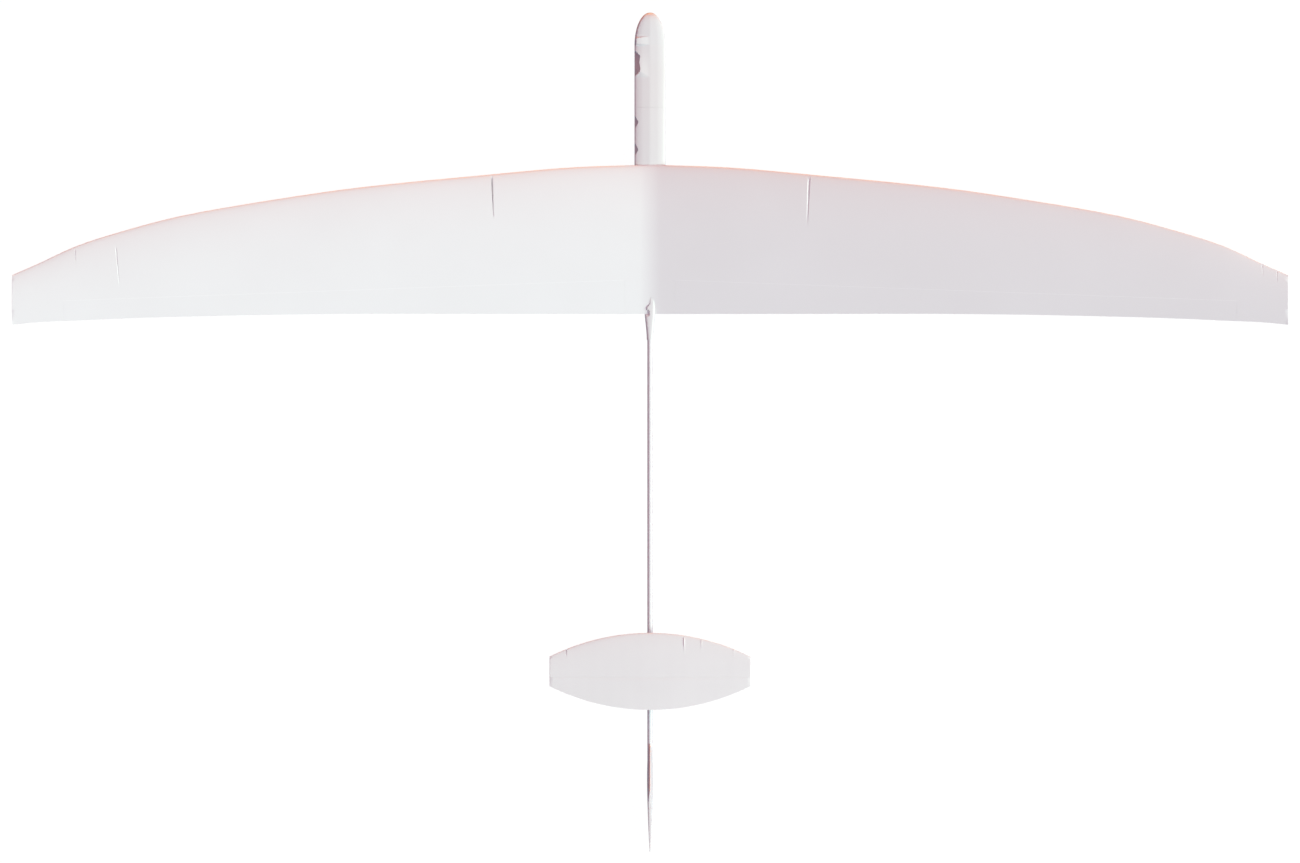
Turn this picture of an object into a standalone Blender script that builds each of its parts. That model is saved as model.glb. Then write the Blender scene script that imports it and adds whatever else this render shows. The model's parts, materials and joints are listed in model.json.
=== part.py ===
"""A radio-controlled hand-launch glider of 1.5 m span, built as its real pieces.

Metres, +Z up. The nose points along -Y, so the glider's left is +X. The origin is on the floor,
under the middle of the glider, which rests level on the flat of its belly and the foot of its fin.
"""

from math import copysign, cos, pi, radians, sin, sqrt, tan, tau

import bmesh
import bpy
from mathutils import Matrix, Vector

# Driving dimensions.
SPAN = 1.500
LENGTH = 0.988
NOSE_Y = -LENGTH / 2
TAIL_Y = LENGTH / 2
GAP = 0.0003

# The pod: a slim body of nearly constant width, with an elliptical nose and a tail cone. Its deck is
# gently crowned between tight shoulders, and its belly is rounder.
POD_HALF_WIDTH = 0.01825
NOSE_TAPER = 0.038
NOSE_AXIS_Z = 0.0181
NOSE_HALF_HEIGHT = 0.0191
NOSE_CONE_LENGTH = 0.112
NOSE_CONE_WALL = 0.001
SPIGOT_LENGTH = 0.010
SEAM_Y = NOSE_Y + NOSE_CONE_LENGTH
HULL_POINTS = 28
POD_FULLNESS = 8.0
BELLY_FULLNESS = 2.4
DECK_CROWN = 0.0016

# Station aft of the nose, half width, belly height, deck height, fullness of the deck's shoulders.
# A belly below zero is cut off flat at the floor.
POD_SECTIONS = (
    (0.038, 0.01825, -0.0010, 0.0372, POD_FULLNESS),
    (0.060, 0.01825, -0.0012, 0.0386, POD_FULLNESS),
    (0.090, 0.01825, -0.0012, 0.0414, POD_FULLNESS),
    (0.125, 0.01825, -0.0012, 0.0442, POD_FULLNESS),
    (0.160, 0.01825, -0.0012, 0.0458, POD_FULLNESS),
    (0.195, 0.01820, -0.0012, 0.0464, POD_FULLNESS),
    (0.228, 0.01770, -0.0011, 0.0466, POD_FULLNESS),
    (0.256, 0.01620, 0.0020, 0.0466, 6.5),
    (0.282, 0.01400, 0.0085, 0.0466, 4.5),
    (0.304, 0.01170, 0.0170, 0.0467, 3.2),
    (0.322, 0.00960, 0.0252, 0.0474, 2.4),
    (0.336, 0.00785, 0.0315, 0.0490, 2.0),
    (0.346, 0.00685, 0.0361, 0.0505, 2.0),
    (0.357, 0.00615, 0.0388, 0.0512, 2.0),
    (0.367, 0.00515, 0.0399, 0.0503, 2.0),
    (0.378, 0.00410, 0.0410, 0.0492, 2.0),
    (0.386, 0.00375, 0.0414, 0.0488, 2.0),
)
POD_STATION_STEPS = 3
SPIGOT_INSET = NOSE_CONE_WALL + GAP

# The wing: one swept and tapered panel a side, set in a shallow V that is rounded at the middle.
# Its camber is a share of its thickness, so that all its sections are alike.
WING_Z = 0.046
WING_LEADING_Y = NOSE_Y + 0.1796
ROOT_CHORD = 0.176
DIHEDRAL = radians(6.5)
CROWN = 0.012
SKIN_STEPS = 11
CAMBER = 0.294
CAMBER_PEAK = 0.40
TRAILING_HALF_THICKNESS = 0.0003
# The usual thickness law of a streamlined section: terms in the root and the powers of the chord.
THICKNESS_TERMS = (0.2969, -0.1260, -0.3516, 0.2843, -0.1015)

# Span station, leading edge sweep, trailing edge sweep, thickness as a share of the chord.
WING_RIBS = (
    (0.000, 0.0000, 0.0000, 0.068),
    (0.094, 0.0035, 0.0000, 0.068),
    (0.188, 0.0118, 0.0000, 0.066),
    (0.341, 0.0271, 0.0000, 0.064),
    (0.447, 0.0424, 0.0012, 0.062),
    (0.553, 0.0612, 0.0035, 0.060),
    (0.628, 0.0812, 0.0059, 0.058),
    (0.676, 0.0971, 0.0082, 0.057),
    (0.718, 0.1166, 0.0100, 0.056),
    (SPAN / 2, 0.1307, 0.0130, 0.055),
)
CROWN_STATIONS = (GAP / 2, CROWN / 3, 2 * CROWN / 3, CROWN, 0.045)
RIBS_BETWEEN = 2
SADDLE_HALF_WIDTH = 0.030
SADDLE_REAR_Y = NOSE_Y + 0.322
SADDLE_HEIGHT = 0.030

# The flaperons: hinged at the wing's upper skin, with a V gap below that lets them drop.
FLAPERON_INNER_X = 0.030
FLAPERON_OUTER_X = 0.690
FLAPERON_INNER_CHORD = 0.040
FLAPERON_OUTER_CHORD = 0.024
HINGE_DEPTH = 0.0003
HINGE_HALF_GAP = 0.00025
END_CLEARANCE = 0.0008
FLAPERON_BEVEL = radians(45)
CUTTER_REACH = 0.060
CUTTER_HEIGHT = 0.020

# The tail boom: a thin carbon tube, plugged into the pod's tail cone.
BOOM_Z = WING_Z - 0.0009
BOOM_RADIUS = 0.0031
BOOM_FRONT_Y = NOSE_Y + 0.358
BOOM_REAR_Y = 0.428
BOOM_SIDES = 20

# The tailplane: two equal arcs with square-cut tips, on a small pylon above the boom.
STAB_Z = 0.064
STAB_LEADING_Y = 0.2372
STAB_CHORD = 0.0907
STAB_HALF_SPAN = 0.1183
STAB_ARC_RADIUS = 0.264
STAB_THICKNESS = 0.050
STAB_RIBS = 14
ELEVATOR_HINGE_Y = 0.2896
ELEVATOR_BEVEL = radians(28)
PYLON_FRONT_Y = 0.250
PYLON_CHORD = 0.033
PYLON_THICKNESS = 0.0052
PYLON_RIB_STEPS = 8

# The fin: height, leading edge. Its trailing edge is upright at the tail's end.
FIN_RIBS = (
    (0.000, 0.4040),
    (0.010, 0.3920),
    (0.026, 0.3775),
    (0.045, 0.3685),
    (0.066, 0.3695),
    (0.090, 0.3770),
    (0.115, 0.3895),
    (0.136, 0.4050),
    (0.152, 0.4227),
)
FIN_THICKNESS = 0.060
RUDDER_HINGE_Y = 0.4439
RUDDER_FOOT_Z = 0.0025
RUDDER_BEVEL = radians(36)

# The horns and rods that work the control surfaces.
HORN_THICKNESS = 0.0012
HORN_DEPTH = 0.011
HORN_ROOT_LENGTH = 0.008
HORN_TIP_LENGTH = 0.003
FLAPERON_HORN_X = 0.0316
FLAPERON_HORN_AFT = 0.0065
ELEVATOR_HORN_AFT = 0.0045
ROD_RADIUS = 0.0006
ROD_START = Vector((0.0080, -0.222, 0.0300))
ROD_SIDE_GAP = 0.0004

# The radio gear on its tray, inside the nose cone: name, front station, length, width, height.
TRAY_FRONT = 0.018
TRAY_WIDTH = 0.0185
TRAY_THICKNESS = 0.0015
TRAY_TOP_Z = 0.0200
RADIO_GEAR = (
    ("battery_pack", 0.0225, 0.036, 0.0185, 0.0100),
    ("receiver", 0.0600, 0.018, 0.0160, 0.0080),
)
SERVO_FRONT = 0.0800
SERVO_LENGTH = 0.0205
SERVO_WIDTH = 0.0085
SERVO_HEIGHT = 0.0145
SERVO_OFFSET = 0.0048
GEAR_CORNER = 0.0012

# Name, colour, roughness, metallic.
FINISHES = (
    ("white_gelcoat", (0.85, 0.84, 0.85), 0.38, 0.0),
    ("white_film", (0.82, 0.81, 0.82), 0.45, 0.0),
    ("white_painted_carbon", (0.80, 0.78, 0.80), 0.40, 0.0),
    ("black_carbon_plate", (0.03, 0.03, 0.035), 0.45, 0.0),
    ("steel_wire", (0.62, 0.62, 0.64), 0.30, 1.0),
    ("battery_wrap", (0.10, 0.16, 0.32), 0.40, 0.0),
    ("dark_plastic", (0.05, 0.05, 0.06), 0.50, 0.0),
    ("servo_plastic", (0.12, 0.12, 0.13), 0.45, 0.0),
)


def clear_scene():
    for obj in list(bpy.data.objects):
        bpy.data.objects.remove(obj)


def new_collection(name):
    collection = bpy.data.collections.new(name)
    bpy.context.scene.collection.children.link(collection)
    return collection


def make_finishes():
    finishes = {}
    for name, colour, roughness, metallic in FINISHES:
        finish = bpy.data.materials.new(name)
        finish.use_nodes = True
        shader = finish.node_tree.nodes["Principled BSDF"]
        shader.inputs["Base Color"].default_value = (*colour, 1)
        shader.inputs["Roughness"].default_value = roughness
        shader.inputs["Metallic"].default_value = metallic
        finish.diffuse_color = (*colour, 1)
        finishes[name] = finish
    return finishes


def object_from(work, name, collection, finish=None, smooth=True):
    """Turn a bmesh into an object of a collection, shaded smooth apart from its sharp edges."""
    mesh = bpy.data.meshes.new(name)
    bmesh.ops.recalc_face_normals(work, faces=work.faces)
    work.to_mesh(mesh)
    work.free()
    if smooth:
        mesh.shade_smooth()
        mesh.set_sharp_from_angle(angle=radians(30))
    if finish:
        mesh.materials.append(finish)
    obj = bpy.data.objects.new(name, mesh)
    collection.objects.link(obj)
    return obj


def as_cutter(obj):
    obj.hide_render = True
    obj.display_type = "WIRE"
    return obj


def boolean(obj, cutter, operation):
    modifier = obj.modifiers.new(f"{operation.lower()} {cutter.name}", "BOOLEAN")
    modifier.operation = operation
    modifier.object = cutter


def set_origin(obj, point):
    """Move an object's origin to a point and leave its shape where it is."""
    obj.data.transform(Matrix.Translation(-Vector(point)))
    obj.location = point


def attach(child, parent):
    """Parent one object to another and leave it where it is."""
    child.parent = parent
    child.matrix_parent_inverse = Matrix.Translation(parent.location).inverted()


def loft(name, rings, collection, finish=None, open_start=False):
    """Skin a row of sections with equal point counts. A ring of one point closes an end."""
    work = bmesh.new()
    loops = [[work.verts.new(point) for point in ring] for ring in rings]
    for near, far in zip(loops, loops[1:]):
        count = max(len(near), len(far))
        for index in range(count):
            after = (index + 1) % count
            if len(far) == 1:
                work.faces.new((near[index], near[after], far[0]))
            else:
                work.faces.new((near[index], near[after], far[after], far[index]))
    if not open_start:
        work.faces.new(loops[0])
    if len(loops[-1]) > 1:
        work.faces.new(loops[-1])
    return object_from(work, name, collection, finish)


def box(name, low, high, collection, finish=None, corner=0.0):
    """A cube primitive stretched between two corners, with rounded edges if a corner is given."""
    low, high = Vector(low), Vector(high)
    work = bmesh.new()
    bmesh.ops.create_cube(work, size=1)
    size = high - low
    bmesh.ops.scale(work, vec=size, verts=work.verts)
    bmesh.ops.translate(work, vec=(low + high) / 2, verts=work.verts)
    obj = object_from(work, name, collection, finish, smooth=False)
    if corner:
        bevel = obj.modifiers.new("rounded edges", "BEVEL")
        bevel.width = corner
        bevel.segments = 2
    return obj


def prism(name, outline, frame, start, end, collection, finish=None):
    """A flat outline in a hinge frame's aft and up directions, extruded along its hinge line."""
    origin, along, aft, up = frame
    work = bmesh.new()
    base = [work.verts.new(origin + along * start + aft * a + up * b) for a, b in outline]
    face = work.faces.new(base)
    extruded = bmesh.ops.extrude_face_region(work, geom=[face])["geom"]
    moved = [item for item in extruded if isinstance(item, bmesh.types.BMVert)]
    bmesh.ops.translate(work, vec=along * (end - start), verts=moved)
    return object_from(work, name, collection, finish, smooth=False)


def tube(name, points, radius, collection, finish=None, sides=2):
    """A round rod or wire along straight runs, with filled ends, made a mesh."""
    curve = bpy.data.curves.new(name, "CURVE")
    curve.dimensions = "3D"
    curve.bevel_depth = radius
    curve.bevel_resolution = sides
    curve.use_fill_caps = True
    spline = curve.splines.new("POLY")
    spline.points.add(len(points) - 1)
    for point, place in zip(spline.points, points):
        point.co = (*place, 1)
    guide = bpy.data.objects.new(name + "_curve", curve)
    collection.objects.link(guide)
    graph = bpy.context.evaluated_depsgraph_get()
    mesh = bpy.data.meshes.new_from_object(guide.evaluated_get(graph))
    bpy.data.objects.remove(guide)
    work = bmesh.new()
    work.from_mesh(mesh)
    bpy.data.meshes.remove(mesh)
    bmesh.ops.remove_doubles(work, verts=work.verts, dist=radius / 50)
    return object_from(work, name, collection, finish)


def cylinder_along_y(name, radius, front, rear, height, collection, finish=None):
    """A turned rod along Y: a profile down its outer side, spun by a Screw modifier."""
    work = bmesh.new()
    profile = [(0, rear), (radius, rear), (radius, front), (0, front)]
    points = [work.verts.new((r, 0, along)) for r, along in profile]
    for near, far in zip(points, points[1:]):
        work.edges.new((near, far))
    mesh = bpy.data.meshes.new(name)
    work.to_mesh(mesh)
    work.free()
    if finish:
        mesh.materials.append(finish)
    obj = bpy.data.objects.new(name, mesh)
    collection.objects.link(obj)
    obj.location = (0, 0, height)
    obj.rotation_euler = (radians(-90), 0, 0)
    screw = obj.modifiers.new("turned", "SCREW")
    screw.steps = BOOM_SIDES
    screw.render_steps = BOOM_SIDES
    screw.use_merge_vertices = True
    screw.merge_threshold = 0.00001
    return obj


def between(rows, at):
    """A table's row at any station, by cubic pieces whose slopes come from the neighbouring rows."""
    stations = [row[0] for row in rows]
    if at >= stations[-1]:
        return rows[-1]
    index = max(i for i in range(len(rows) - 1) if stations[i] <= at or i == 0)
    width = stations[index + 1] - stations[index]
    share = (at - stations[index]) / width
    row = [at]
    for column in range(1, len(rows[0])):

        def slope(i):
            before, after = max(i - 1, 0), min(i + 1, len(rows) - 1)
            return (rows[after][column] - rows[before][column]) / (stations[after] - stations[before])

        start, end = rows[index][column], rows[index + 1][column]
        first, last = slope(index) * width, slope(index + 1) * width
        rise = end - start
        row.append(
            start
            + share * first
            + share**2 * (3 * rise - 2 * first - last)
            + share**3 * (first + last - 2 * rise)
        )
    return row


def pod_section(station):
    """Half width, belly, deck and fullness of the pod at a station aft of the nose."""
    if station >= NOSE_TAPER:
        return between(POD_SECTIONS, station)[1:]
    swell = sqrt(max(0.0, 1 - (1 - station / NOSE_TAPER) ** 2))
    half_height = NOSE_HALF_HEIGHT * swell
    return POD_HALF_WIDTH * swell, NOSE_AXIS_Z - half_height, NOSE_AXIS_Z + half_height, POD_FULLNESS


def pod_ring(station, inset=0.0):
    """One closed section of the pod, square to its length, with its belly flat on the floor."""
    half_width, belly, deck, fullness = pod_section(station)
    middle, half_height = (belly + deck) / 2, (deck - belly) / 2 - inset
    half_width -= inset
    crown = DECK_CROWN * half_width / POD_HALF_WIDTH * (fullness - 2) / (POD_FULLNESS - 2)
    ring = []
    for step in range(HULL_POINTS):
        across, upward = cos(tau * step / HULL_POINTS), sin(tau * step / HULL_POINTS)
        power = 2 / (fullness if upward >= 0 else min(fullness, BELLY_FULLNESS))
        x = half_width * copysign(abs(across) ** power, across)
        z = middle + half_height * copysign(abs(upward) ** power, upward)
        z -= max(0.0, upward) * crown * (x / half_width) ** 2
        ring.append((x, NOSE_Y + station, max(z, inset)))
    return ring


def pod_stations(first, last):
    """The stations of the section table between two limits, with finer ones between them."""
    table = [row[0] for row in POD_SECTIONS]
    fine = []
    for near, far in zip(table, table[1:]):
        fine += [near + (far - near) * step / POD_STATION_STEPS for step in range(POD_STATION_STEPS)]
    inside = [station for station in fine + table[-1:] if first < station < last]
    return [first, *inside, last]


def section_heights(fraction, thickness, camber=0.0):
    """Heights of the upper and lower skin at a fraction of the chord, as shares of the chord."""
    powers = (sqrt(fraction), fraction, fraction**2, fraction**3, fraction**4)
    half = 5 * thickness * sum(term * power for term, power in zip(THICKNESS_TERMS, powers))
    if fraction < CAMBER_PEAK:
        rise = (2 * CAMBER_PEAK * fraction - fraction**2) / CAMBER_PEAK**2
    else:
        rise = (1 - 2 * CAMBER_PEAK + 2 * CAMBER_PEAK * fraction - fraction**2) / (1 - CAMBER_PEAK) ** 2
    line = camber * thickness * rise
    return line + half, line - half


def section_outline(steps=SKIN_STEPS):
    """Chord fractions round a section, close together at its nose: (fraction, is upper skin)."""
    fractions = [(1 + cos(pi * step / steps)) / 2 for step in range(steps + 1)]
    return [(f, True) for f in fractions] + [(f, False) for f in reversed(fractions[:-1])]


def section_ring(leading, chord, thickness, place, camber=0.0, grow=0.0, steps=SKIN_STEPS):
    """A closed section. place turns a lengthwise position and a height into a point."""
    ring = []
    for fraction, upper in section_outline(steps):
        top, bottom = section_heights(fraction, thickness, camber)
        height = (top if upper else bottom) * chord
        height += (1 if upper else -1) * (fraction * TRAILING_HALF_THICKNESS + grow)
        ring.append(place(leading + fraction * chord, height))
    return ring


def wing_lift(x):
    """Height of the wing's chord line above its middle, for the V with its rounded crown."""
    out = abs(x)
    if out < CROWN:
        return tan(DIHEDRAL) * out**2 / (2 * CROWN)
    return tan(DIHEDRAL) * (out - CROWN / 2)


def wing_rib(x):
    """Leading edge, chord, thickness and height of the wing at a span station."""
    _, leading_sweep, trailing_sweep, thickness = between(WING_RIBS, abs(x))
    leading = WING_LEADING_Y + leading_sweep
    trailing = WING_LEADING_Y + ROOT_CHORD + trailing_sweep
    return leading, trailing - leading, thickness, WING_Z + wing_lift(x)


def wing_skin(x, y):
    """Heights of the wing's upper and lower skin at a point of its plan."""
    leading, chord, thickness, height = wing_rib(x)
    fraction = (y - leading) / chord
    top, bottom = section_heights(fraction, thickness, CAMBER)
    edge = fraction * TRAILING_HALF_THICKNESS
    return height + top * chord + edge, height + bottom * chord - edge


def wing_rings(side):
    table = [row[0] for row in WING_RIBS]
    stations = list(CROWN_STATIONS)
    for near, far in zip(table[1:], table[2:]):
        stations += [near + (far - near) * step / RIBS_BETWEEN for step in range(RIBS_BETWEEN)]
    stations.append(table[-1])
    rings = []
    for station in stations:
        leading, chord, thickness, height = wing_rib(station)

        def place(y, z, x=side * station, level=height):
            return Vector((x, y, level + z))

        rings.append(section_ring(leading, chord, thickness, place, CAMBER))
    return rings


def flaperon_hinge(side):
    """Hinge frame of a flaperon: inner end, then its directions outboard, aft and up; and its length."""
    ends = []
    for x, chord in (
        (FLAPERON_INNER_X, FLAPERON_INNER_CHORD),
        (FLAPERON_OUTER_X, FLAPERON_OUTER_CHORD),
    ):
        leading, rib_chord, _, _ = wing_rib(x)
        y = leading + rib_chord - chord
        top, _ = wing_skin(x, y)
        ends.append(Vector((side * x, y, top - HINGE_DEPTH)))
    along = (ends[1] - ends[0]).normalized()
    aft = Vector((0, 1, 0))
    aft = (aft - along * aft.dot(along)).normalized()
    up = aft.cross(along) * -side
    return (ends[0], along, aft, up.normalized()), (ends[1] - ends[0]).length


def hinge_wedge(bevel_up, bevel_down):
    """Outline of a control surface's space behind its hinge line, with its front face bevelled."""
    return (
        (HINGE_HALF_GAP, 0),
        (HINGE_HALF_GAP + tan(bevel_up) * CUTTER_HEIGHT, CUTTER_HEIGHT),
        (CUTTER_REACH, CUTTER_HEIGHT),
        (CUTTER_REACH, -CUTTER_HEIGHT),
        (HINGE_HALF_GAP + tan(bevel_down) * CUTTER_HEIGHT, -CUTTER_HEIGHT),
    )


def hinge_bay():
    """Outline of the whole space behind the fixed surface's upright rear face."""
    return (
        (-HINGE_HALF_GAP, CUTTER_HEIGHT),
        (CUTTER_REACH, CUTTER_HEIGHT),
        (CUTTER_REACH, -CUTTER_HEIGHT),
        (-HINGE_HALF_GAP, -CUTTER_HEIGHT),
    )


def horn_outline(aft, skin):
    """A control horn's plate in its hinge frame: broad at the skin, narrow at its tip."""
    tip = skin - HORN_DEPTH
    return (
        (aft, skin),
        (aft + HORN_ROOT_LENGTH, skin),
        (aft + (HORN_ROOT_LENGTH + HORN_TIP_LENGTH) / 2, tip),
        (aft + (HORN_ROOT_LENGTH - HORN_TIP_LENGTH) / 2, tip),
    )


def make_pod(parts, cutters, finishes):
    """The pod, solid behind its spigot, with a saddle for the wing and a socket for the boom."""
    gelcoat = finishes["white_gelcoat"]
    last = POD_SECTIONS[-1][0]
    rings = [
        pod_ring(NOSE_CONE_LENGTH - SPIGOT_LENGTH, SPIGOT_INSET),
        pod_ring(NOSE_CONE_LENGTH + GAP / 2, SPIGOT_INSET),
    ]
    rings += [pod_ring(station) for station in pod_stations(NOSE_CONE_LENGTH + GAP / 2, last)]
    pod = loft("pod", rings, parts, gelcoat)
    boolean(pod, make_saddle(cutters), "DIFFERENCE")
    socket = cylinder_along_y(
        "boom_socket", BOOM_RADIUS + GAP, BOOM_FRONT_Y - GAP, NOSE_Y + last + GAP, BOOM_Z, cutters
    )
    boolean(pod, as_cutter(socket), "DIFFERENCE")
    return pod


def make_nose_cone(parts, finishes):
    """The slip-on nose cone: an open shell that covers the radio gear."""
    stations = pod_stations(NOSE_TAPER, NOSE_CONE_LENGTH - GAP / 2)[::-1]
    nose_steps = 9
    for step in range(1, nose_steps):
        stations.append(NOSE_TAPER * (1 - sin(pi / 2 * step / nose_steps)))
    rings = [pod_ring(station) for station in stations]
    rings.append([(0, NOSE_Y, NOSE_AXIS_Z)])
    cone = loft("nose_cone", rings, parts, finishes["white_gelcoat"], open_start=True)
    shell = cone.modifiers.new("wall", "SOLIDIFY")
    shell.thickness = NOSE_CONE_WALL
    shell.offset = -1
    return cone


def make_saddle(cutters):
    """All that lies above the wing's lower skin, over the part of the pod that carries the wing."""
    rings = []
    stations = [SADDLE_HALF_WIDTH, CROWN, 2 * CROWN / 3, CROWN / 3]
    for x in [-s for s in stations] + [0] + stations[::-1]:
        leading, chord, thickness, height = wing_rib(x)
        ring = []
        for fraction, upper in section_outline():
            y = leading + fraction * chord
            if not upper and y < SADDLE_REAR_Y:
                _, bottom = section_heights(fraction, thickness, CAMBER)
                edge = fraction * TRAILING_HALF_THICKNESS
                ring.append((x, y, height + bottom * chord - edge - GAP))
        front = leading - GAP
        ring.insert(0, (x, front, height))
        _, rear_skin = wing_skin(x, SADDLE_REAR_Y)
        ring.append((x, SADDLE_REAR_Y, rear_skin - GAP))
        ring.append((x, SADDLE_REAR_Y, WING_Z + SADDLE_HEIGHT))
        ring.append((x, front, WING_Z + SADDLE_HEIGHT))
        rings.append(ring)
    return as_cutter(loft("wing_saddle", rings, cutters))


def make_radio(parts, finishes):
    """The tray that stands out of the pod's front, and what is strapped to it."""
    tray = box(
        "radio_tray",
        (-TRAY_WIDTH / 2, NOSE_Y + TRAY_FRONT, TRAY_TOP_Z - TRAY_THICKNESS),
        (TRAY_WIDTH / 2, SEAM_Y - SPIGOT_LENGTH - GAP, TRAY_TOP_Z),
        parts,
        finishes["black_carbon_plate"],
    )
    floor = TRAY_TOP_Z + GAP
    looks = {"battery_pack": "battery_wrap", "receiver": "dark_plastic"}
    for name, front, length, width, height in RADIO_GEAR:
        low = (-width / 2, NOSE_Y + front, floor)
        high = (width / 2, NOSE_Y + front + length, floor + height)
        attach(box(name, low, high, parts, finishes[looks[name]], GEAR_CORNER), tray)
    for name, side in (("left_servo", 1), ("right_servo", -1)):
        middle = side * SERVO_OFFSET
        low = (middle - SERVO_WIDTH / 2, NOSE_Y + SERVO_FRONT, floor)
        high = (middle + SERVO_WIDTH / 2, NOSE_Y + SERVO_FRONT + SERVO_LENGTH, floor + SERVO_HEIGHT)
        attach(box(name, low, high, parts, finishes["servo_plastic"], GEAR_CORNER / 2), tray)


def make_wing(word, side, parts, cutters, finishes):
    """One wing panel with its flaperon, the flaperon's horn and the rod that works it."""
    gelcoat = finishes["white_gelcoat"]
    rings = wing_rings(side)
    frame, length = flaperon_hinge(side)
    hinge_point = frame[0]

    panel = loft(f"{word}_wing_panel", rings, parts, gelcoat)
    bay = prism(f"{word}_flaperon_bay", hinge_bay(), frame, 0, length, cutters)
    boolean(panel, as_cutter(bay), "DIFFERENCE")
    boolean(panel, bpy.data.objects["tail_cone_notch"], "DIFFERENCE")

    flaperon = loft(f"{word}_flaperon", rings, parts, gelcoat)
    wedge = prism(
        f"{word}_flaperon_wedge",
        hinge_wedge(0, FLAPERON_BEVEL),
        frame,
        END_CLEARANCE,
        length - END_CLEARANCE,
        cutters,
    )
    boolean(flaperon, as_cutter(wedge), "INTERSECT")
    set_origin(flaperon, hinge_point)

    place = (FLAPERON_HORN_X - FLAPERON_INNER_X) / abs(frame[1].x)
    top_y = hinge_point.y + FLAPERON_HORN_AFT + HORN_ROOT_LENGTH / 2
    _, lower = wing_skin(FLAPERON_HORN_X, top_y)
    axis_z = hinge_point.z + frame[1].z * place
    outline = horn_outline(FLAPERON_HORN_AFT, lower - axis_z - GAP)
    horn = prism(
        f"{word}_flaperon_horn",
        outline,
        frame,
        place - HORN_THICKNESS / 2,
        place + HORN_THICKNESS / 2,
        parts,
        finishes["black_carbon_plate"],
    )
    set_origin(horn, hinge_point)
    attach(horn, flaperon)

    origin, along, aft, up = frame
    beside = place - HORN_THICKNESS / 2 - ROD_SIDE_GAP - ROD_RADIUS
    reach = FLAPERON_HORN_AFT + HORN_ROOT_LENGTH / 2
    end = origin + along * beside + aft * reach + up * (outline[2][1] + ROD_RADIUS * 2)
    start = Vector((side * ROD_START.x, ROD_START.y, ROD_START.z))
    tube(f"{word}_pushrod", (start, end), ROD_RADIUS, parts, finishes["steel_wire"])
    slot = tube(f"{word}_rod_slot", (start - (end - start) * 0.05, end), ROD_RADIUS + GAP, cutters)
    boolean(bpy.data.objects["pod"], as_cutter(slot), "DIFFERENCE")


def make_tail_cone_notch(cutters):
    """The pod's tail cone, a gap larger, which the wing's trailing edge is notched round."""
    first, last = SADDLE_REAR_Y - NOSE_Y - GAP, POD_SECTIONS[-1][0]
    rings = [pod_ring(station, -GAP) for station in pod_stations(first, last)]
    return as_cutter(loft("tail_cone_notch", rings, cutters))


def make_boom(parts, finishes):
    finish = finishes["white_painted_carbon"]
    return cylinder_along_y(
        "tail_boom", BOOM_RADIUS, BOOM_FRONT_Y, BOOM_REAR_Y, BOOM_Z, parts, finish
    )


def stab_rings(grow=0.0):
    rings = []
    for step in range(STAB_RIBS + 1):
        x = STAB_HALF_SPAN * (2 * step / STAB_RIBS - 1)
        sag = STAB_ARC_RADIUS - sqrt(STAB_ARC_RADIUS**2 - x**2)

        def place(y, z, x=x):
            return Vector((x, y, STAB_Z + z))

        chord = STAB_CHORD - 2 * sag
        rings.append(section_ring(STAB_LEADING_Y + sag, chord, STAB_THICKNESS, place, grow=grow))
    return rings


def make_tailplane(parts, cutters, finishes):
    """The fixed tailplane, its pylon on the boom, and the full-span elevator with its horn."""
    film = finishes["white_film"]
    origin = Vector((0, ELEVATOR_HINGE_Y, STAB_Z))
    frame = (origin, Vector((1, 0, 0)), Vector((0, 1, 0)), Vector((0, 0, 1)))
    half = STAB_HALF_SPAN + END_CLEARANCE

    stab = loft("stabilizer", stab_rings(), parts, film)
    bay = prism("elevator_bay", hinge_bay(), frame, -half, half, cutters)
    boolean(stab, as_cutter(bay), "DIFFERENCE")

    elevator = loft("elevator", stab_rings(), parts, film)
    outline = hinge_wedge(ELEVATOR_BEVEL, ELEVATOR_BEVEL)
    wedge = prism("elevator_wedge", outline, frame, -half, half, cutters)
    boolean(elevator, as_cutter(wedge), "INTERSECT")
    set_origin(elevator, origin)

    fraction = (ELEVATOR_HINGE_Y + ELEVATOR_HORN_AFT - STAB_LEADING_Y) / STAB_CHORD
    _, bottom = section_heights(fraction, STAB_THICKNESS)
    skin = bottom * STAB_CHORD - fraction * TRAILING_HALF_THICKNESS - GAP
    horn = prism(
        "elevator_horn",
        horn_outline(ELEVATOR_HORN_AFT, skin),
        frame,
        -HORN_THICKNESS / 2,
        HORN_THICKNESS / 2,
        parts,
        finishes["black_carbon_plate"],
    )
    set_origin(horn, origin)
    attach(horn, elevator)

    rings = []
    for z in (BOOM_Z, STAB_Z):

        def upright(y, offset, z=z):
            return Vector((offset, y, z))

        share = PYLON_THICKNESS / PYLON_CHORD
        rings.append(
            section_ring(PYLON_FRONT_Y, PYLON_CHORD, share, upright, steps=PYLON_RIB_STEPS)
        )
    pylon = loft("stab_mount", rings, parts, film)
    saddle = cylinder_along_y(
        "boom_saddle", BOOM_RADIUS + GAP, PYLON_FRONT_Y - CROWN, ELEVATOR_HINGE_Y, BOOM_Z, cutters
    )
    boolean(pylon, as_cutter(saddle), "DIFFERENCE")
    seat = as_cutter(loft("stab_seat", stab_rings(GAP), cutters))
    boolean(pylon, seat, "DIFFERENCE")


def fin_rings(foot=0.0):
    rings = []
    for row in FIN_RIBS:
        height = max(row[0], foot)
        leading = between(FIN_RIBS, height)[1]

        def upright(y, offset, z=height):
            return Vector((offset, y, z))

        rings.append(section_ring(leading, TAIL_Y - leading, FIN_THICKNESS, upright))
    return rings


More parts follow.
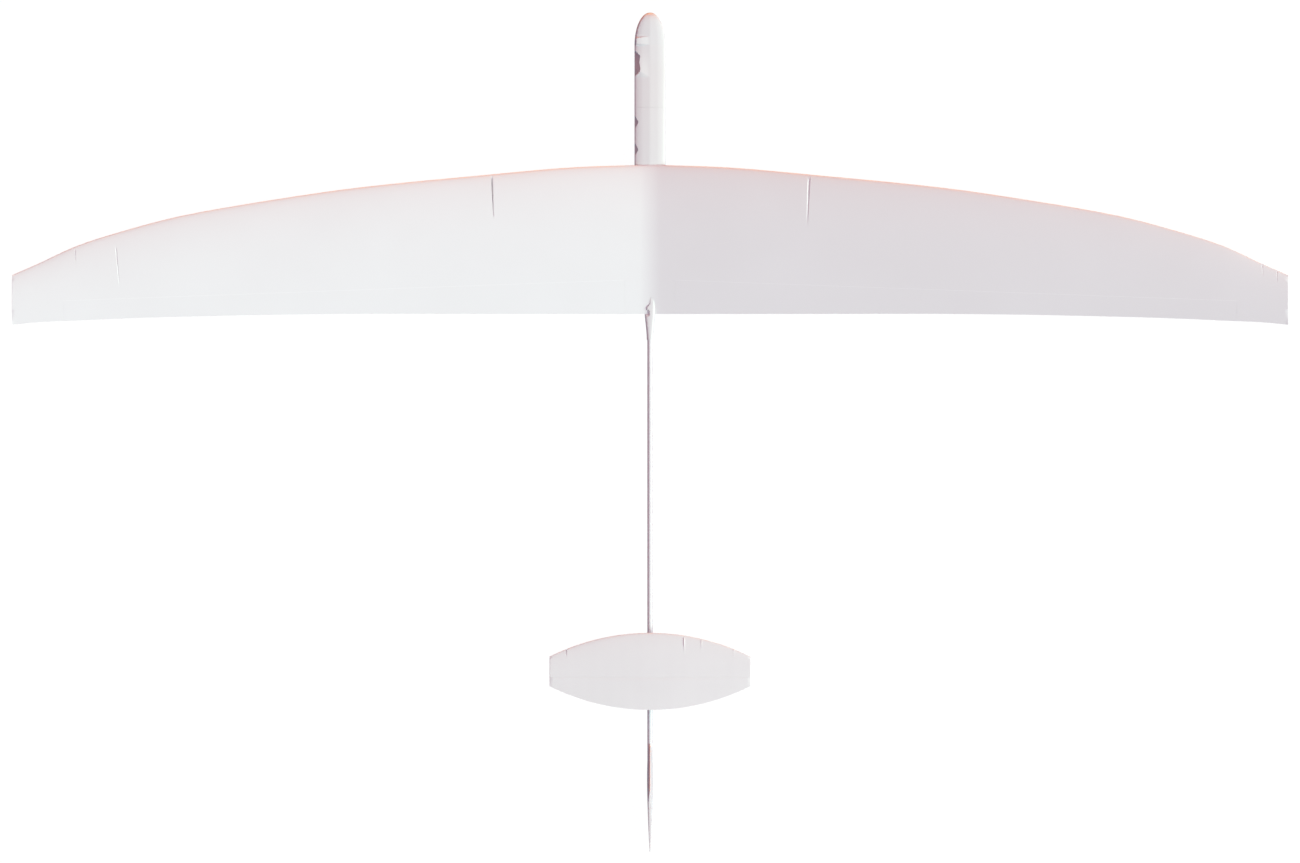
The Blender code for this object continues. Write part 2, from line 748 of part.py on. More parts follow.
def make_fin(parts, cutters, finishes):
    """The fin, slotted over the boom's end, and the rudder."""
    film = finishes["white_film"]
    origin = Vector((0, RUDDER_HINGE_Y, RUDDER_FOOT_Z))
    frame = (origin, Vector((0, 0, 1)), Vector((0, 1, 0)), Vector((1, 0, 0)))
    top = FIN_RIBS[-1][0] + END_CLEARANCE

    fin = loft("fin", fin_rings(), parts, film)
    bay = prism("rudder_bay", hinge_bay(), frame, -RUDDER_FOOT_Z - END_CLEARANCE, top, cutters)
    boolean(fin, as_cutter(bay), "DIFFERENCE")
    slot = box(
        "boom_slot",
        (-CUTTER_HEIGHT, FIN_RIBS[3][1] - CROWN, BOOM_Z - BOOM_RADIUS - GAP),
        (CUTTER_HEIGHT, BOOM_REAR_Y + GAP, BOOM_Z + BOOM_RADIUS + GAP),
        cutters,
    )
    boolean(fin, as_cutter(slot), "DIFFERENCE")

    rudder = loft("rudder", fin_rings(RUDDER_FOOT_Z), parts, film)
    outline = hinge_wedge(RUDDER_BEVEL, RUDDER_BEVEL)
    wedge = prism("rudder_wedge", outline, frame, -END_CLEARANCE, top, cutters)
    boolean(rudder, as_cutter(wedge), "INTERSECT")
    set_origin(rudder, origin)


def main():
    clear_scene()
    parts = new_collection("hand_launch_glider")
    cutters = new_collection("cutters")
    finishes = make_finishes()
    make_tail_cone_notch(cutters)
    make_pod(parts, cutters, finishes)
    make_nose_cone(parts, finishes)
    make_radio(parts, finishes)
    for word, side in (("left", 1), ("right", -1)):
        make_wing(word, side, parts, cutters, finishes)
    make_boom(parts, finishes)
    make_tailplane(parts, cutters, finishes)
    make_fin(parts, cutters, finishes)


main()
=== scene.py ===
# %% [markdown]
# A radio-controlled hand-launch glider, seen from straight above. The imported CAD model is loaded first.
# It is the frame that everything else is made on: its bodies carry the finished pieces, and its nodes give
# the places.

# %% Load the frame
import json
from math import acos, atan2, cos, copysign, hypot, pi, radians, sin, sqrt, tan, tau

import bmesh
import bpy
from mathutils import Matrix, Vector


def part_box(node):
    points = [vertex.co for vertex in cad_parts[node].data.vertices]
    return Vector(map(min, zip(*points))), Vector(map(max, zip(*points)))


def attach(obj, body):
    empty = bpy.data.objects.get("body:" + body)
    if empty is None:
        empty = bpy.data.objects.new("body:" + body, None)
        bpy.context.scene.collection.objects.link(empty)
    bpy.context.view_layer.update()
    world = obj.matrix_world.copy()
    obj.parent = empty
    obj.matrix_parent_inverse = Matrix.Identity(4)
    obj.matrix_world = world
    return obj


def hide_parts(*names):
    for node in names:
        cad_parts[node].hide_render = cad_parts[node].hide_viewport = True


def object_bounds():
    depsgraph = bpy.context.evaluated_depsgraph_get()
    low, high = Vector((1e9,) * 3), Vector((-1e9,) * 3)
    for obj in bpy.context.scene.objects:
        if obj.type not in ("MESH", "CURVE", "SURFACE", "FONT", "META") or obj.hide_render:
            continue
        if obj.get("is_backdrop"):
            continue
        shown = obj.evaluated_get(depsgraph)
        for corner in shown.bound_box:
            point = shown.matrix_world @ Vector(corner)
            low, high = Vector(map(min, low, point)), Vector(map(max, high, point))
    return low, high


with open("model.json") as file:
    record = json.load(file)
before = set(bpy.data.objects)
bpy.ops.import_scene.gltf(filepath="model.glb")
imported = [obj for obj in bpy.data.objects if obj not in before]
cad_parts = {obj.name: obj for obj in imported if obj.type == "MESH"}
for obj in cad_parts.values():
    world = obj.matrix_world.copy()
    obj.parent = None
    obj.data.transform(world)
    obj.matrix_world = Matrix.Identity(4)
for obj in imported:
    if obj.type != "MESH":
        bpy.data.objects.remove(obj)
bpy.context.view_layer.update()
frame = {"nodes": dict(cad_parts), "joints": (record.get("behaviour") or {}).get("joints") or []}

hinges = {joint["name"]: joint for joint in frame["joints"]}

# %% [markdown]
# The camera. The photograph looks straight down, with the nose at the top of the picture and the left
# wing on the left. Its lines hardly converge, so the camera stands far away with a long lens. The frame is
# as wide as 1300 pixels of the photograph, measured half way between the belly and the wing tips, so that
# the high tips and the low nose are both only a pixel out.

# %% Camera
MM_PER_PIXEL = 1.1774
FRAME_WIDTH = 1300 * MM_PER_PIXEL / 1000
LENS_MM, SENSOR_MM = 800, 36
MIDDLE_HEIGHT = 0.075

bpy.ops.object.select_all(action="DESELECT")
distance = FRAME_WIDTH * LENS_MM / SENSOR_MM
bpy.ops.object.camera_add(location=(0, 0, MIDDLE_HEIGHT + distance), rotation=(0, 0, pi))
camera = bpy.context.object
camera.data.lens = LENS_MM
camera.data.sensor_width = SENSOR_MM
camera.data.clip_start, camera.data.clip_end = 1, 100
bpy.context.scene.camera = camera
print("camera", round(camera.location.z, 2), "m above the floor")

# %% [markdown]
# The floor is a plain white table that is lit from inside, like a light table, so it stays white in the
# picture and takes only a faint shadow. It gives no light to the glider. A large plane is enough for it,
# because it is the stage and not a piece of the glider.

# %% Floor
FLOOR_WIDTH = 40
bpy.context.scene.view_settings.view_transform = "Standard"

bpy.ops.object.select_all(action="DESELECT")
bpy.ops.mesh.primitive_plane_add(size=FLOOR_WIDTH)
floor = bpy.context.object
floor.name = "floor"
for ray in ("diffuse", "glossy", "shadow", "transmission"):
    setattr(floor, f"visible_{ray}", False)
floor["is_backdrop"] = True
print("floor", [round(v) for v in floor.dimensions])

# %% [markdown]
# One small function adds a shader node, sets its properties and sockets, and links what it is given.
# Another turns an sRGB hex colour, as a picker shows it, into the linear numbers that shaders use.

# %% Node and colour helpers
def linear(code):
    """A hex colour such as "EDEBEC" as linear red, green, blue and 1."""
    values = [int(code[i:i + 2], 16) / 255 for i in (0, 2, 4)]
    return (*[v / 12.92 if v <= 0.04045 else ((v + 0.055) / 1.055) ** 2.4 for v in values], 1)


def add(tree, kind, sockets=None, out=None, **settings):
    """Add a node, set its properties, give its sockets a value or a link, and return one output."""
    made = tree.nodes.new("ShaderNode" + kind)
    for name, value in settings.items():
        setattr(made, name, value)
    for name, value in (sockets or {}).items():
        if isinstance(name, int):
            socket = made.inputs[name]
        else:
            socket = next(s for s in made.inputs if s.enabled and s.name == name)
        if isinstance(value, bpy.types.NodeSocket):
            tree.links.new(value, socket)
        else:
            socket.default_value = value
    return next((s for s in made.outputs if s.enabled and out in (None, s.name)), None)


table_top = bpy.data.materials.new("white_light_table")
table_top.use_nodes = True
tree = table_top.node_tree
tree.nodes.clear()
place = add(tree, "TexCoord", out="Object")
grain = add(tree, "TexNoise", {"Vector": place, "Scale": 40.0, "Detail": 2.0})
tone = add(tree, "Mix", {"Factor": grain, "A": linear("484848"), "B": linear("4C4C4C")},
           data_type="RGBA")
matt = add(tree, "BsdfDiffuse", {"Color": tone})
glow = add(tree, "Emission", {"Color": linear("FFFFFF"), "Strength": 0.98})
both = add(tree, "AddShader", {0: matt, 1: glow})
add(tree, "OutputMaterial", {"Surface": both})
floor.data.materials.append(table_top)
print("floor material", table_top.name)

# %% [markdown]
# The light is soft and white from above and from the right of the picture, warm orange from ahead of the
# nose and dim mauve from the left. The photograph shows all of these: the left wing is brighter than the
# right one, the leading edges are orange and what faces left is mauve. The sky gives the soft part, by the
# direction that light comes from, and two suns give the rest.

# %% Sky
SKY_OVERHEAD = (0.69, 0.63, 0.76, 1)
SKY_BELOW = (0.09, 0.38, 0.57, 1)
SKY_RIGHT = (0.51, 0.16, 0.38, 1)
SKY_LEFT = (0.03, 0.0, 0.0, 1)
SKY_AHEAD = (0.74, 0.07, 0.0, 1)

world = bpy.context.scene.world or bpy.data.worlds.new("sky")
bpy.context.scene.world = world
world.use_nodes = True
tree = world.node_tree
tree.nodes.clear()
toward = add(tree, "TexCoord", out="Generated")
x, y, z = (add(tree, "SeparateXYZ", {"Vector": toward}, axis) for axis in "XYZ")
leftward = add(tree, "MapRange", {"Value": x, "From Min": -0.8, "From Max": 0.8},
               interpolation_type="SMOOTHSTEP")
ahead = add(tree, "MapRange", {"Value": y, "From Min": -0.2, "From Max": -0.8},
            interpolation_type="SMOOTHSTEP")
upward = add(tree, "MapRange", {"Value": z, "From Min": 0.35, "From Max": 0.9},
             interpolation_type="SMOOTHSTEP")
downward = add(tree, "MapRange", {"Value": z, "From Min": -0.3, "From Max": -0.9},
               interpolation_type="SMOOTHSTEP")
sky = add(tree, "Mix", {"Factor": leftward, "A": SKY_RIGHT, "B": SKY_LEFT}, data_type="RGBA")
sky = add(tree, "Mix", {"Factor": ahead, "A": sky, "B": SKY_AHEAD}, data_type="RGBA")
sky = add(tree, "Mix", {"Factor": upward, "A": sky, "B": SKY_OVERHEAD}, data_type="RGBA")
sky = add(tree, "Mix", {"Factor": downward, "A": sky, "B": SKY_BELOW}, data_type="RGBA")
seen = add(tree, "LightPath", out="Is Camera Ray")
sky = add(tree, "Mix", {"Factor": seen, "A": sky, "B": linear("FFFFFF")}, data_type="RGBA")
lit = add(tree, "Background", {"Color": sky, "Strength": 1.0})
add(tree, "OutputWorld", {"Surface": lit})
print("sky with", len(tree.nodes), "nodes")

# %% [markdown]
# A sun lamp stands for one strong direction of light. A disc of 30 degrees and more makes its shadows soft.
# The key comes from the right of the picture. The warm one shines from ahead and from below the table, so
# it only reaches the edges and undersides that face forward.

# %% Suns
SUN_DISTANCE = 3


def sun(name, azimuth, elevation, colour, strength, disc):
    """A sun whose light comes from an azimuth (0 ahead of the nose, 90 from the left) and elevation."""
    bpy.ops.object.select_all(action="DESELECT")
    turn, rise = radians(azimuth), radians(elevation)
    source = Vector((sin(turn) * cos(rise), -cos(turn) * cos(rise), sin(rise)))
    bpy.ops.object.light_add(type="SUN", location=source * SUN_DISTANCE)
    lamp = bpy.context.object
    lamp.name = name
    lamp.rotation_euler = source.to_track_quat("Z", "Y").to_euler()
    lamp.data.color = colour
    lamp.data.energy = strength
    lamp.data.angle = radians(disc)
    print(name, [round(v, 2) for v in source])


sun("key_from_the_right", -100, 32, (0.69, 1.0, 0.82), 3.07, 35)
sun("warm_from_ahead", 0, -20, (1.0, 0.46, 0.0), 1.20, 30)

# %% [markdown]
# White gelcoat is the skin of the wing and pod: a pigmented resin layer that is brushed into a polished
# mould before the glass cloth goes in. It is smooth but not glassy. Up close it has a slight waviness like
# orange peel, and the 2 mm cloth below shows through as faint print. The belly is grey where it lands.
# The cloth and the peel are finer than a pixel in the far view, so they only soften the gloss there.

# %% White gelcoat
WAVE_METRES = pi / 10  # a wave texture of scale 1 repeats at this length
PEEL, CLOTH = 0.0022, 0.002
SCUFF_TOP, SCUFF_FULL = 0.0035, 0.0002


def new_finish(name, **settings):
    """A material with its Principled shader, and the Object coordinates that its patterns use."""
    material = bpy.data.materials.new(name)
    material.use_nodes = True
    tree = material.node_tree
    shader = tree.nodes["Principled BSDF"]
    for socket, value in settings.items():
        shader.inputs[socket.replace("_", " ")].default_value = value
    return material, tree, shader, add(tree, "TexCoord", out="Object")


def dress(tree, shader, tones, gloss, relief=None):
    """Steer a finish by patterns: two tones, least and most roughness, and a relief's strength and height."""
    pattern, dark, light = tones
    colour = add(tree, "Mix", {"Factor": pattern, "A": linear(dark), "B": linear(light)}, data_type="RGBA")
    tree.links.new(colour, shader.inputs["Base Color"])
    pattern, least, most = gloss
    rough = add(tree, "MapRange", {"Value": pattern, "To Min": least, "To Max": most})
    tree.links.new(rough, shader.inputs["Roughness"])
    if relief:
        pattern, strength, height = relief
        skin = add(tree, "Bump", {"Height": pattern, "Strength": strength, "Distance": height})
        tree.links.new(skin, shader.inputs["Normal"])
    return colour


def gelcoat(name, dark, light):
    """Gelcoat between two near whites, with scuffs on whatever lies within 3.5 mm of the ground."""
    material, tree, shader, place = new_finish(name, IOR=1.5, Roughness=0.38)
    drift = add(tree, "TexNoise", {"Vector": place, "Scale": 9.0, "Detail": 2.0})
    smears = add(tree, "TexNoise", {"Vector": place, "Scale": 45.0, "Detail": 3.0})
    peel = add(tree, "TexNoise", {"Vector": place, "Scale": 1 / PEEL, "Detail": 1.0})
    cloth = [add(tree, "TexWave", {"Vector": place, "Scale": WAVE_METRES / CLOTH}, "Fac",
                 bands_direction=axis) for axis in "XY"]
    print_through = add(tree, "Math", {0: cloth[0], 1: cloth[1]}, operation="MULTIPLY")
    relief = add(tree, "Math", {0: print_through, 1: 0.35, 2: peel}, operation="MULTIPLY_ADD")
    white = dress(tree, shader, (drift, dark, light), (smears, 0.33, 0.46), (relief, 0.25, 0.00003))
    height = add(tree, "SeparateXYZ", {"Vector": place}, "Z")
    low = add(tree, "MapRange", {"Value": height, "From Min": SCUFF_TOP, "From Max": SCUFF_FULL})
    streaks = add(tree, "Mapping", {"Vector": place, "Scale": (1200.0, 90.0, 1200.0)})
    scuffs = add(tree, "TexNoise", {"Vector": streaks, "Scale": 1.0, "Detail": 3.0})
    scuffed = add(tree, "MapRange", {"Value": scuffs, "From Min": 0.45, "From Max": 0.65})
    worn = add(tree, "Math", {0: low, 1: scuffed}, operation="MULTIPLY")
    colour = add(tree, "Mix", {"Factor": worn, "A": white, "B": linear("B4ADA6")}, data_type="RGBA")
    tree.links.new(colour, shader.inputs["Base Color"])
    print(name, len(tree.nodes), "nodes")
    return material


wing_white = gelcoat("white_gelcoat_of_the_wing", "ECEAEB", "F1F0F1")
# The pod's copy of the gelcoat is a little darker than the wing's. The darkening is painted shade, for the
# pod's darker tone.
pod_white_with_painted_shade = gelcoat("white_gelcoat_of_the_pod_with_painted_shade", "E6E4E5", "EBEAEA")

# %% [markdown]
# The tail surfaces are lighter work: thin foam or balsa under white film that is ironed on. The film has a
# satin face that mirrors little, so its specular level is low. It sinks a little between the ribs below,
# 18 mm apart, and the light runs over it in faint bands.

# %% White film
RIB_PITCH, CRINKLE = 0.018, 0.004
film, tree, shader, place = new_finish("white_iron_on_film", IOR=1.46, Roughness=0.5,
                                       Specular_IOR_Level=0.15)
drift = add(tree, "TexNoise", {"Vector": place, "Scale": 14.0, "Detail": 2.0})
ribs = add(tree, "TexWave", {"Vector": place, "Scale": WAVE_METRES / RIB_PITCH}, "Fac", bands_direction="X")
crinkle = add(tree, "TexNoise", {"Vector": place, "Scale": 1 / CRINKLE, "Detail": 2.0})
relief = add(tree, "Math", {0: crinkle, 1: 0.12, 2: ribs}, operation="MULTIPLY_ADD")
dress(tree, shader, (drift, "EAE8E9", "F0EEEF"), (crinkle, 0.45, 0.60), (relief, 0.3, 0.0001))
print(film.name, len(tree.nodes), "nodes")

# %% [markdown]
# The boom is a carbon tube, wound from tape on a mandrel and painted white. The tape's edges leave low
# ridges that climb round the tube about every 6 mm, and the paint is thin, so the ridges still show.

# %% Painted carbon tube
TAPE_PITCH = 0.006
painted, tree, shader, place = new_finish("white_paint_on_wound_carbon", IOR=1.5, Roughness=0.32)
drift = add(tree, "TexNoise", {"Vector": place, "Scale": 60.0, "Detail": 2.0})
slanted = add(tree, "Mapping", {"Vector": place, "Rotation": (0.0, radians(40), radians(25))})
turns = add(tree, "TexWave", {"Vector": slanted, "Scale": WAVE_METRES / TAPE_PITCH}, "Fac",
            bands_direction="Y", wave_profile="SAW")
dress(tree, shader, (drift, "E6E3E6", "F0EEF0"), (drift, 0.26, 0.38), (turns, 0.5, 0.00006))
print(painted.name, len(tree.nodes), "nodes")

# %% [markdown]
# The horns and the radio tray are cut from carbon plate: black carbon cloth in clear epoxy, pressed flat
# and sawn. The cloth is a 2 by 2 twill. Each 1.5 mm tow goes over two and under two, and each row steps
# on by one, so the squares line up in diagonals. Tows that run across and tows that run along catch
# the light differently, which two tones and two gloss levels give.

# %% Carbon plate
TOW = 0.0015
plate, tree, shader, place = new_finish("black_carbon_plate_in_epoxy", IOR=1.55, Roughness=0.35,
                                        Coat_Weight=0.6, Coat_Roughness=0.12)
x, y, z = (add(tree, "SeparateXYZ", {"Vector": place}, axis) for axis in "XYZ")
across = add(tree, "Math", {0: x, 1: z}, operation="ADD")
steps = []
for value in (across, y):
    count = add(tree, "Math", {0: value, 1: 1 / TOW}, operation="MULTIPLY")
    steps.append(add(tree, "Math", {0: count}, operation="FLOOR"))
row = add(tree, "Math", {0: steps[0], 1: steps[1]}, operation="ADD")
phase = add(tree, "Math", {0: row, 1: 4.0}, operation="FLOORED_MODULO")
over = add(tree, "Math", {0: phase, 1: 1.5}, operation="GREATER_THAN")
dress(tree, shader, (over, "101114", "2A2C31"), (over, 0.28, 0.48), (over, 0.4, 0.00003))
print(plate.name, len(tree.nodes), "nodes")

# %% [markdown]
# The rods are spring steel wire, drawn through a die, which leaves fine lines along the wire. The battery
# is wrapped in shrink sleeve, a thin PVC that puckers where it has shrunk. The receiver's case is moulded
# ABS with a fine spark-eroded grain, and the servos are moulded nylon, smoother and a little waxy.

# %% Wire, sleeve and moulded plastics
wire, tree, shader, place = new_finish("drawn_spring_steel", Metallic=1.0, Roughness=0.3)
lines = add(tree, "Mapping", {"Vector": place, "Scale": (9000.0, 500.0, 9000.0)})
drawn = add(tree, "TexNoise", {"Vector": lines, "Scale": 1.0, "Detail": 2.0})
dress(tree, shader, (drawn, "B4B5B8", "D6D7DA"), (drawn, 0.24, 0.38))

sleeve, tree, shader, place = new_finish("blue_shrink_sleeve", IOR=1.53, Roughness=0.28)
drift = add(tree, "TexNoise", {"Vector": place, "Scale": 90.0, "Detail": 3.0})
pulled = add(tree, "Mapping", {"Vector": place, "Scale": (260.0, 900.0, 500.0)})
puckers = add(tree, "TexNoise", {"Vector": pulled, "Scale": 1.0, "Detail": 2.0})
dress(tree, shader, (drift, "29487A", "38609A"), (puckers, 0.2, 0.36), (puckers, 0.6, 0.0003))


def moulded(name, dark, light, grain_mm, rough, **settings):
    """A small hard part: two near tones, and a grain of one real size in its bump and gloss."""
    material, tree, shader, place = new_finish(name, Roughness=rough, **settings)
    grain = add(tree, "TexNoise", {"Vector": place, "Scale": 1000 / grain_mm, "Detail": 2.0})
    dress(tree, shader, (grain, dark, light), (grain, rough - 0.06, rough + 0.08), (grain, 0.5, 0.00003))
    return material


abs_case = moulded("moulded_abs", "35363B", "45464C", 0.35, 0.5, IOR=1.53)
nylon = moulded("moulded_nylon", "50525A", "5E6068", 0.6, 0.4, IOR=1.53)
brass = moulded("gilt_brass_pin", "C9A24B", "DDB963", 0.5, 0.3, Metallic=1.0)
print([m.name for m in (wire, sleeve, abs_case, nylon, brass)])

# %% [markdown]
# Modelling helpers. The wing, tail, pod and boom are all long shells with one kind of section. By hand
# each is drawn as a loop, extruded, moved and scaled from station to station, and closed at its ends. One
# function does that with the same operators. It starts from a circle whose points are pushed on to the
# section. Others open a piece in edit mode, apply a modifier, cut at a plane and finish a piece.

# %% Modelling helpers
AS_IS = ((1, 1, 1), (0, 0, 0))  # the scale and its centre, for a ring that is only moved
CREASE_ANGLE = radians(30)


def only(piece):
    """Deselect everything, then select and activate one piece."""
    bpy.ops.object.select_all(action="DESELECT")
    piece.select_set(True)
    bpy.context.view_layer.objects.active = piece


def edit(piece, action="SELECT"):
    """Open one piece in edit mode, with all of it or nothing selected."""
    only(piece)
    bpy.ops.object.mode_set(mode="EDIT")
    bpy.ops.mesh.select_mode(type="VERT")
    bpy.ops.mesh.select_all(action=action)


def outward(piece):
    """Turn all faces of a closed piece outward."""
    edit(piece)
    bpy.ops.mesh.normals_make_consistent(inside=False)
    bpy.ops.object.mode_set(mode="OBJECT")


def extrude_rings(name, outline, moves, closed=True):
    """Extrude a section from station to station. A move is a step, a scale and the scale's centre."""
    bpy.ops.object.select_all(action="DESELECT")
    bpy.ops.mesh.primitive_circle_add(vertices=len(outline), radius=0.01)
    piece = bpy.context.object
    piece.name = piece.data.name = name
    for vertex, point in zip(piece.data.vertices, outline):
        vertex.co = point
    edit(piece)
    for step, scale, centre in moves:
        bpy.ops.mesh.extrude_region_move(TRANSFORM_OT_translate={"value": step})
        bpy.ops.transform.resize(value=scale, center_override=centre)
    bpy.ops.mesh.edge_face_add()
    if closed:  # the first ring is the only open edge that is left
        bpy.ops.mesh.select_all(action="DESELECT")
        bpy.ops.mesh.select_non_manifold()
        bpy.ops.mesh.edge_face_add()
    bpy.ops.object.mode_set(mode="OBJECT")
    return piece


def apply(piece, kind, **settings):
    """Add a modifier with its settings to a piece and apply it."""
    only(piece)
    modifier = piece.modifiers.new(kind.lower(), kind)
    for name, value in settings.items():
        setattr(modifier, name, value)
    bpy.ops.object.modifier_apply(modifier=modifier.name)


def carve(piece, cutter, keep=False):
    """Take a cutter's shape out of a piece, and remove the cutter unless it is a piece itself."""
    outward(cutter)
    outward(piece)
    apply(piece, "BOOLEAN", operation="DIFFERENCE", object=cutter, solver="EXACT")
    if not keep:
        bpy.data.objects.remove(cutter)


def slice_off(piece, point, normal):
    """Cut a piece at a plane, drop what lies on the normal's side and fill the cut."""
    edit(piece)
    bpy.ops.mesh.bisect(plane_co=point, plane_no=normal, use_fill=True, clear_outer=True, threshold=0.000001)
    bpy.ops.object.mode_set(mode="OBJECT")


def duplicate(piece, name):
    """A copy of a piece with its own mesh."""
    only(piece)
    bpy.ops.object.duplicate()
    copy = bpy.context.object
    copy.name = copy.data.name = name
    return copy


def hand_over(piece, material, slot, body, *nodes):
    """Finish a piece: outward faces, smooth shading with crisp edges, its material, body and CAD nodes."""
    outward(piece)
    bpy.ops.object.shade_smooth_by_angle(angle=CREASE_ANGLE)
    piece.data.materials.clear()
    piece.data.materials.append(material)
    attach(piece, body)
    if nodes:
        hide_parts(*nodes)
    size = [round(v * 1000, 1) for v in piece.dimensions]
    low = min(vertex.co.z for vertex in piece.data.vertices)
    print(f"{piece.name}: {size} mm, {len(piece.data.polygons)} faces, lowest {low * 1000:.2f} mm")

# %% [markdown]
# The wing is one moulded shell from tip to tip: glass cloth over a foam core, with a shallow V that is
# rounded at the middle. The plan comes from a short table of stations, read from the photograph, and
# smooth curves run through its rows. All sections are alike, so one section is extruded out to the
# left tip, and each ring is only moved and scaled in chord and height. A mirror makes the right half.

# %% Wing plan
WING_LEADING_Y, WING_Z, ROOT_CHORD, HALF_WING = -0.3144, 0.046, 0.176, 0.75
SLOPE, CROWN = tan(radians(6.5)), 0.012
# Camber as a share of the thickness, its peak along the chord, half the trailing edge's thickness, and the
# factors of a classic thickness law for the square root, first, second, third and fourth power.
CAMBER, PEAK, EDGE = 0.294, 0.40, 0.0003
LAW = (0.2969, -0.1260, -0.3516, 0.2843, -0.1015)

# Span station, leading edge sweep, trailing edge sweep, thickness as a share of the chord.
WING_RIBS = (
    (0.000, 0.0000, 0.0000, 0.068),
    (0.094, 0.0035, 0.0000, 0.068),
    (0.188, 0.0118, 0.0000, 0.066),
    (0.341, 0.0271, 0.0000, 0.064),
    (0.447, 0.0424, 0.0012, 0.062),
    (0.553, 0.0612, 0.0035, 0.060),
    (0.628, 0.0812, 0.0059, 0.058),
    (0.676, 0.0971, 0.0082, 0.057),
    (0.718, 0.1166, 0.0100, 0.056),
    (HALF_WING, 0.1307, 0.0130, 0.055),
)


def between(rows, at):
    """A table's row at any station, on smooth curves through its rows."""
    if at >= rows[-1][0]:
        return rows[-1]
    index = max(i for i in range(len(rows) - 1) if rows[i][0] <= at or i == 0)
    width = rows[index + 1][0] - rows[index][0]
    share = (at - rows[index][0]) / width
    row = [at]
    for column in range(1, len(rows[0])):
        slopes = []
        for i in (index, index + 1):
            before, after = rows[max(i - 1, 0)], rows[min(i + 1, len(rows) - 1)]
            slopes.append((after[column] - before[column]) / (after[0] - before[0]) * width)
        start, rise = rows[index][column], rows[index + 1][column] - rows[index][column]
        first, last = slopes
        curve = share**2 * (3 * rise - 2 * first - last) + share**3 * (first + last - 2 * rise)
        row.append(start + share * first + curve)
    return row


def wing_rib(x):
    """Leading edge, chord, thickness share and height of the wing at a distance from the middle."""
    _, front, back, thickness = between(WING_RIBS, x)
    lift = SLOPE * x * x / (2 * CROWN) if x < CROWN else SLOPE * (x - CROWN / 2)
    return WING_LEADING_Y + front, ROOT_CHORD + back - front, thickness, WING_Z + lift


def section(chord, thickness, camber, steps):
    """A streamlined section from its trailing edge over the top and back below: (aft, up) in metres."""
    shares = [(1 + cos(pi * i / steps)) / 2 for i in range(steps + 1)]
    points = []
    for side, run in ((1, shares), (-1, shares[-2::-1])):
        for f in run:
            powers = (sqrt(f), f, f**2, f**3, f**4)
            half = 5 * thickness * sum(a * b for a, b in zip(LAW, powers))
            if f < PEAK:
                line = (2 * PEAK * f - f * f) / PEAK**2
            else:
                line = (1 - 2 * PEAK + 2 * PEAK * f - f * f) / (1 - PEAK) ** 2
            points.append((f * chord, (camber * thickness * line + side * half) * chord + side * f * EDGE))
    return points


print("tip chord", round(wing_rib(HALF_WING)[1] * 1000, 1), "mm")

# %% [markdown]
# The photograph shows a short crease in each panel's leading edge, a quarter of the way out, and smaller
# ones near the tips. Each is a shallow groove that runs aft: a wide wall on its inner side and a narrow
# one on its outer side. So the wing gets rings at the lines of each groove, and the groove is then pressed
# in by moving those points, as a sculpting brush would. It is widest near its front and fades out aft.

# %% Crease helpers
# Ring, side, distance out at the front and at the rear, front and rear end, inner and outer wall, depth.
WING_CREASES = (
    (0.1861, 1, 0.1870, 0.1846, -0.3010, -0.2520, 0.0020, 0.0002, 0.0046),
    (0.1861, -1, 0.1883, 0.1855, -0.3010, -0.2450, 0.0028, 0.0009, 0.0020),
    (0.6758, 1, 0.6760, 0.6756, -0.2140, -0.1980, 0.0010, 0.0004, 0.0011),
    (0.6262, 1, 0.6285, 0.6240, -0.2200, -0.1700, 0.0014, 0.0008, 0.0009),
    (0.7202, -1, 0.7200, 0.7204, -0.1960, -0.1830, 0.0010, 0.0006, 0.0007),
    (0.7371, -1, 0.7370, 0.7372, -0.1890, -0.1760, 0.0010, 0.0006, 0.0007),
)
RING_OFFSETS = (-0.0026, -0.0022, 0.0, 0.0009, 0.0013)
FLAT, ON_RING = 0.0004, 0.00002
# How much narrower a groove gets aft, how soon it is at its deepest, and how it fades.
NARROWING, RAMP, FADE = 0.45, 6, 0.6


def crease_lines(creases):
    """Distances out of the five rings that each groove needs."""
    return sorted({round(crease[0] + offset, 6) for crease in creases for offset in RING_OFFSETS})


def press_creases(piece, creases, rib):
    """Slide the rings of each groove over the skin to its slanted lines, and press the bottom line in."""
    for ring, side, front, rear, start, end, inner, outer, depth in creases:
        places = dict(zip(RING_OFFSETS, (-inner - FLAT, -inner, 0.0, outer, outer + FLAT)))
        for vertex in piece.data.vertices:
            offset = min(places, key=lambda o: abs(vertex.co.x * side - ring - o))
            if abs(vertex.co.x * side - ring - offset) > ON_RING:
                continue
            share = (vertex.co.y - start) / (end - start)
            along = min(max(share, 0.0), 1.0)
            out = front + (rear - front) * along + places[offset] * (1 - NARROWING * along)
            (y0, chord0, thick0, z0), (y1, chord1, thick1, z1) = rib(vertex.co.x * side), rib(out)
            y = y1 + (vertex.co.y - y0) / chord0 * chord1
            z = z1 + (vertex.co.z - z0) / (chord0 * thick0) * chord1 * thick1
            vertex.co = (side * out, y, z)
            if offset == 0.0 and vertex.normal.z > 0.05:
                vertex.co.z -= depth * min(1.0, RAMP * along) * (1 - along) ** FADE


print(len(crease_lines(WING_CREASES)), "rings for", len(WING_CREASES), "creases")

# %% [markdown]
# Now the shell itself. The stations stand close together at the middle, where the V is rounded, and each
# groove brings its own rings. The last two rings turn the tip in a little, as a mould's edge does. Both
# halves share the middle ring after the mirror.

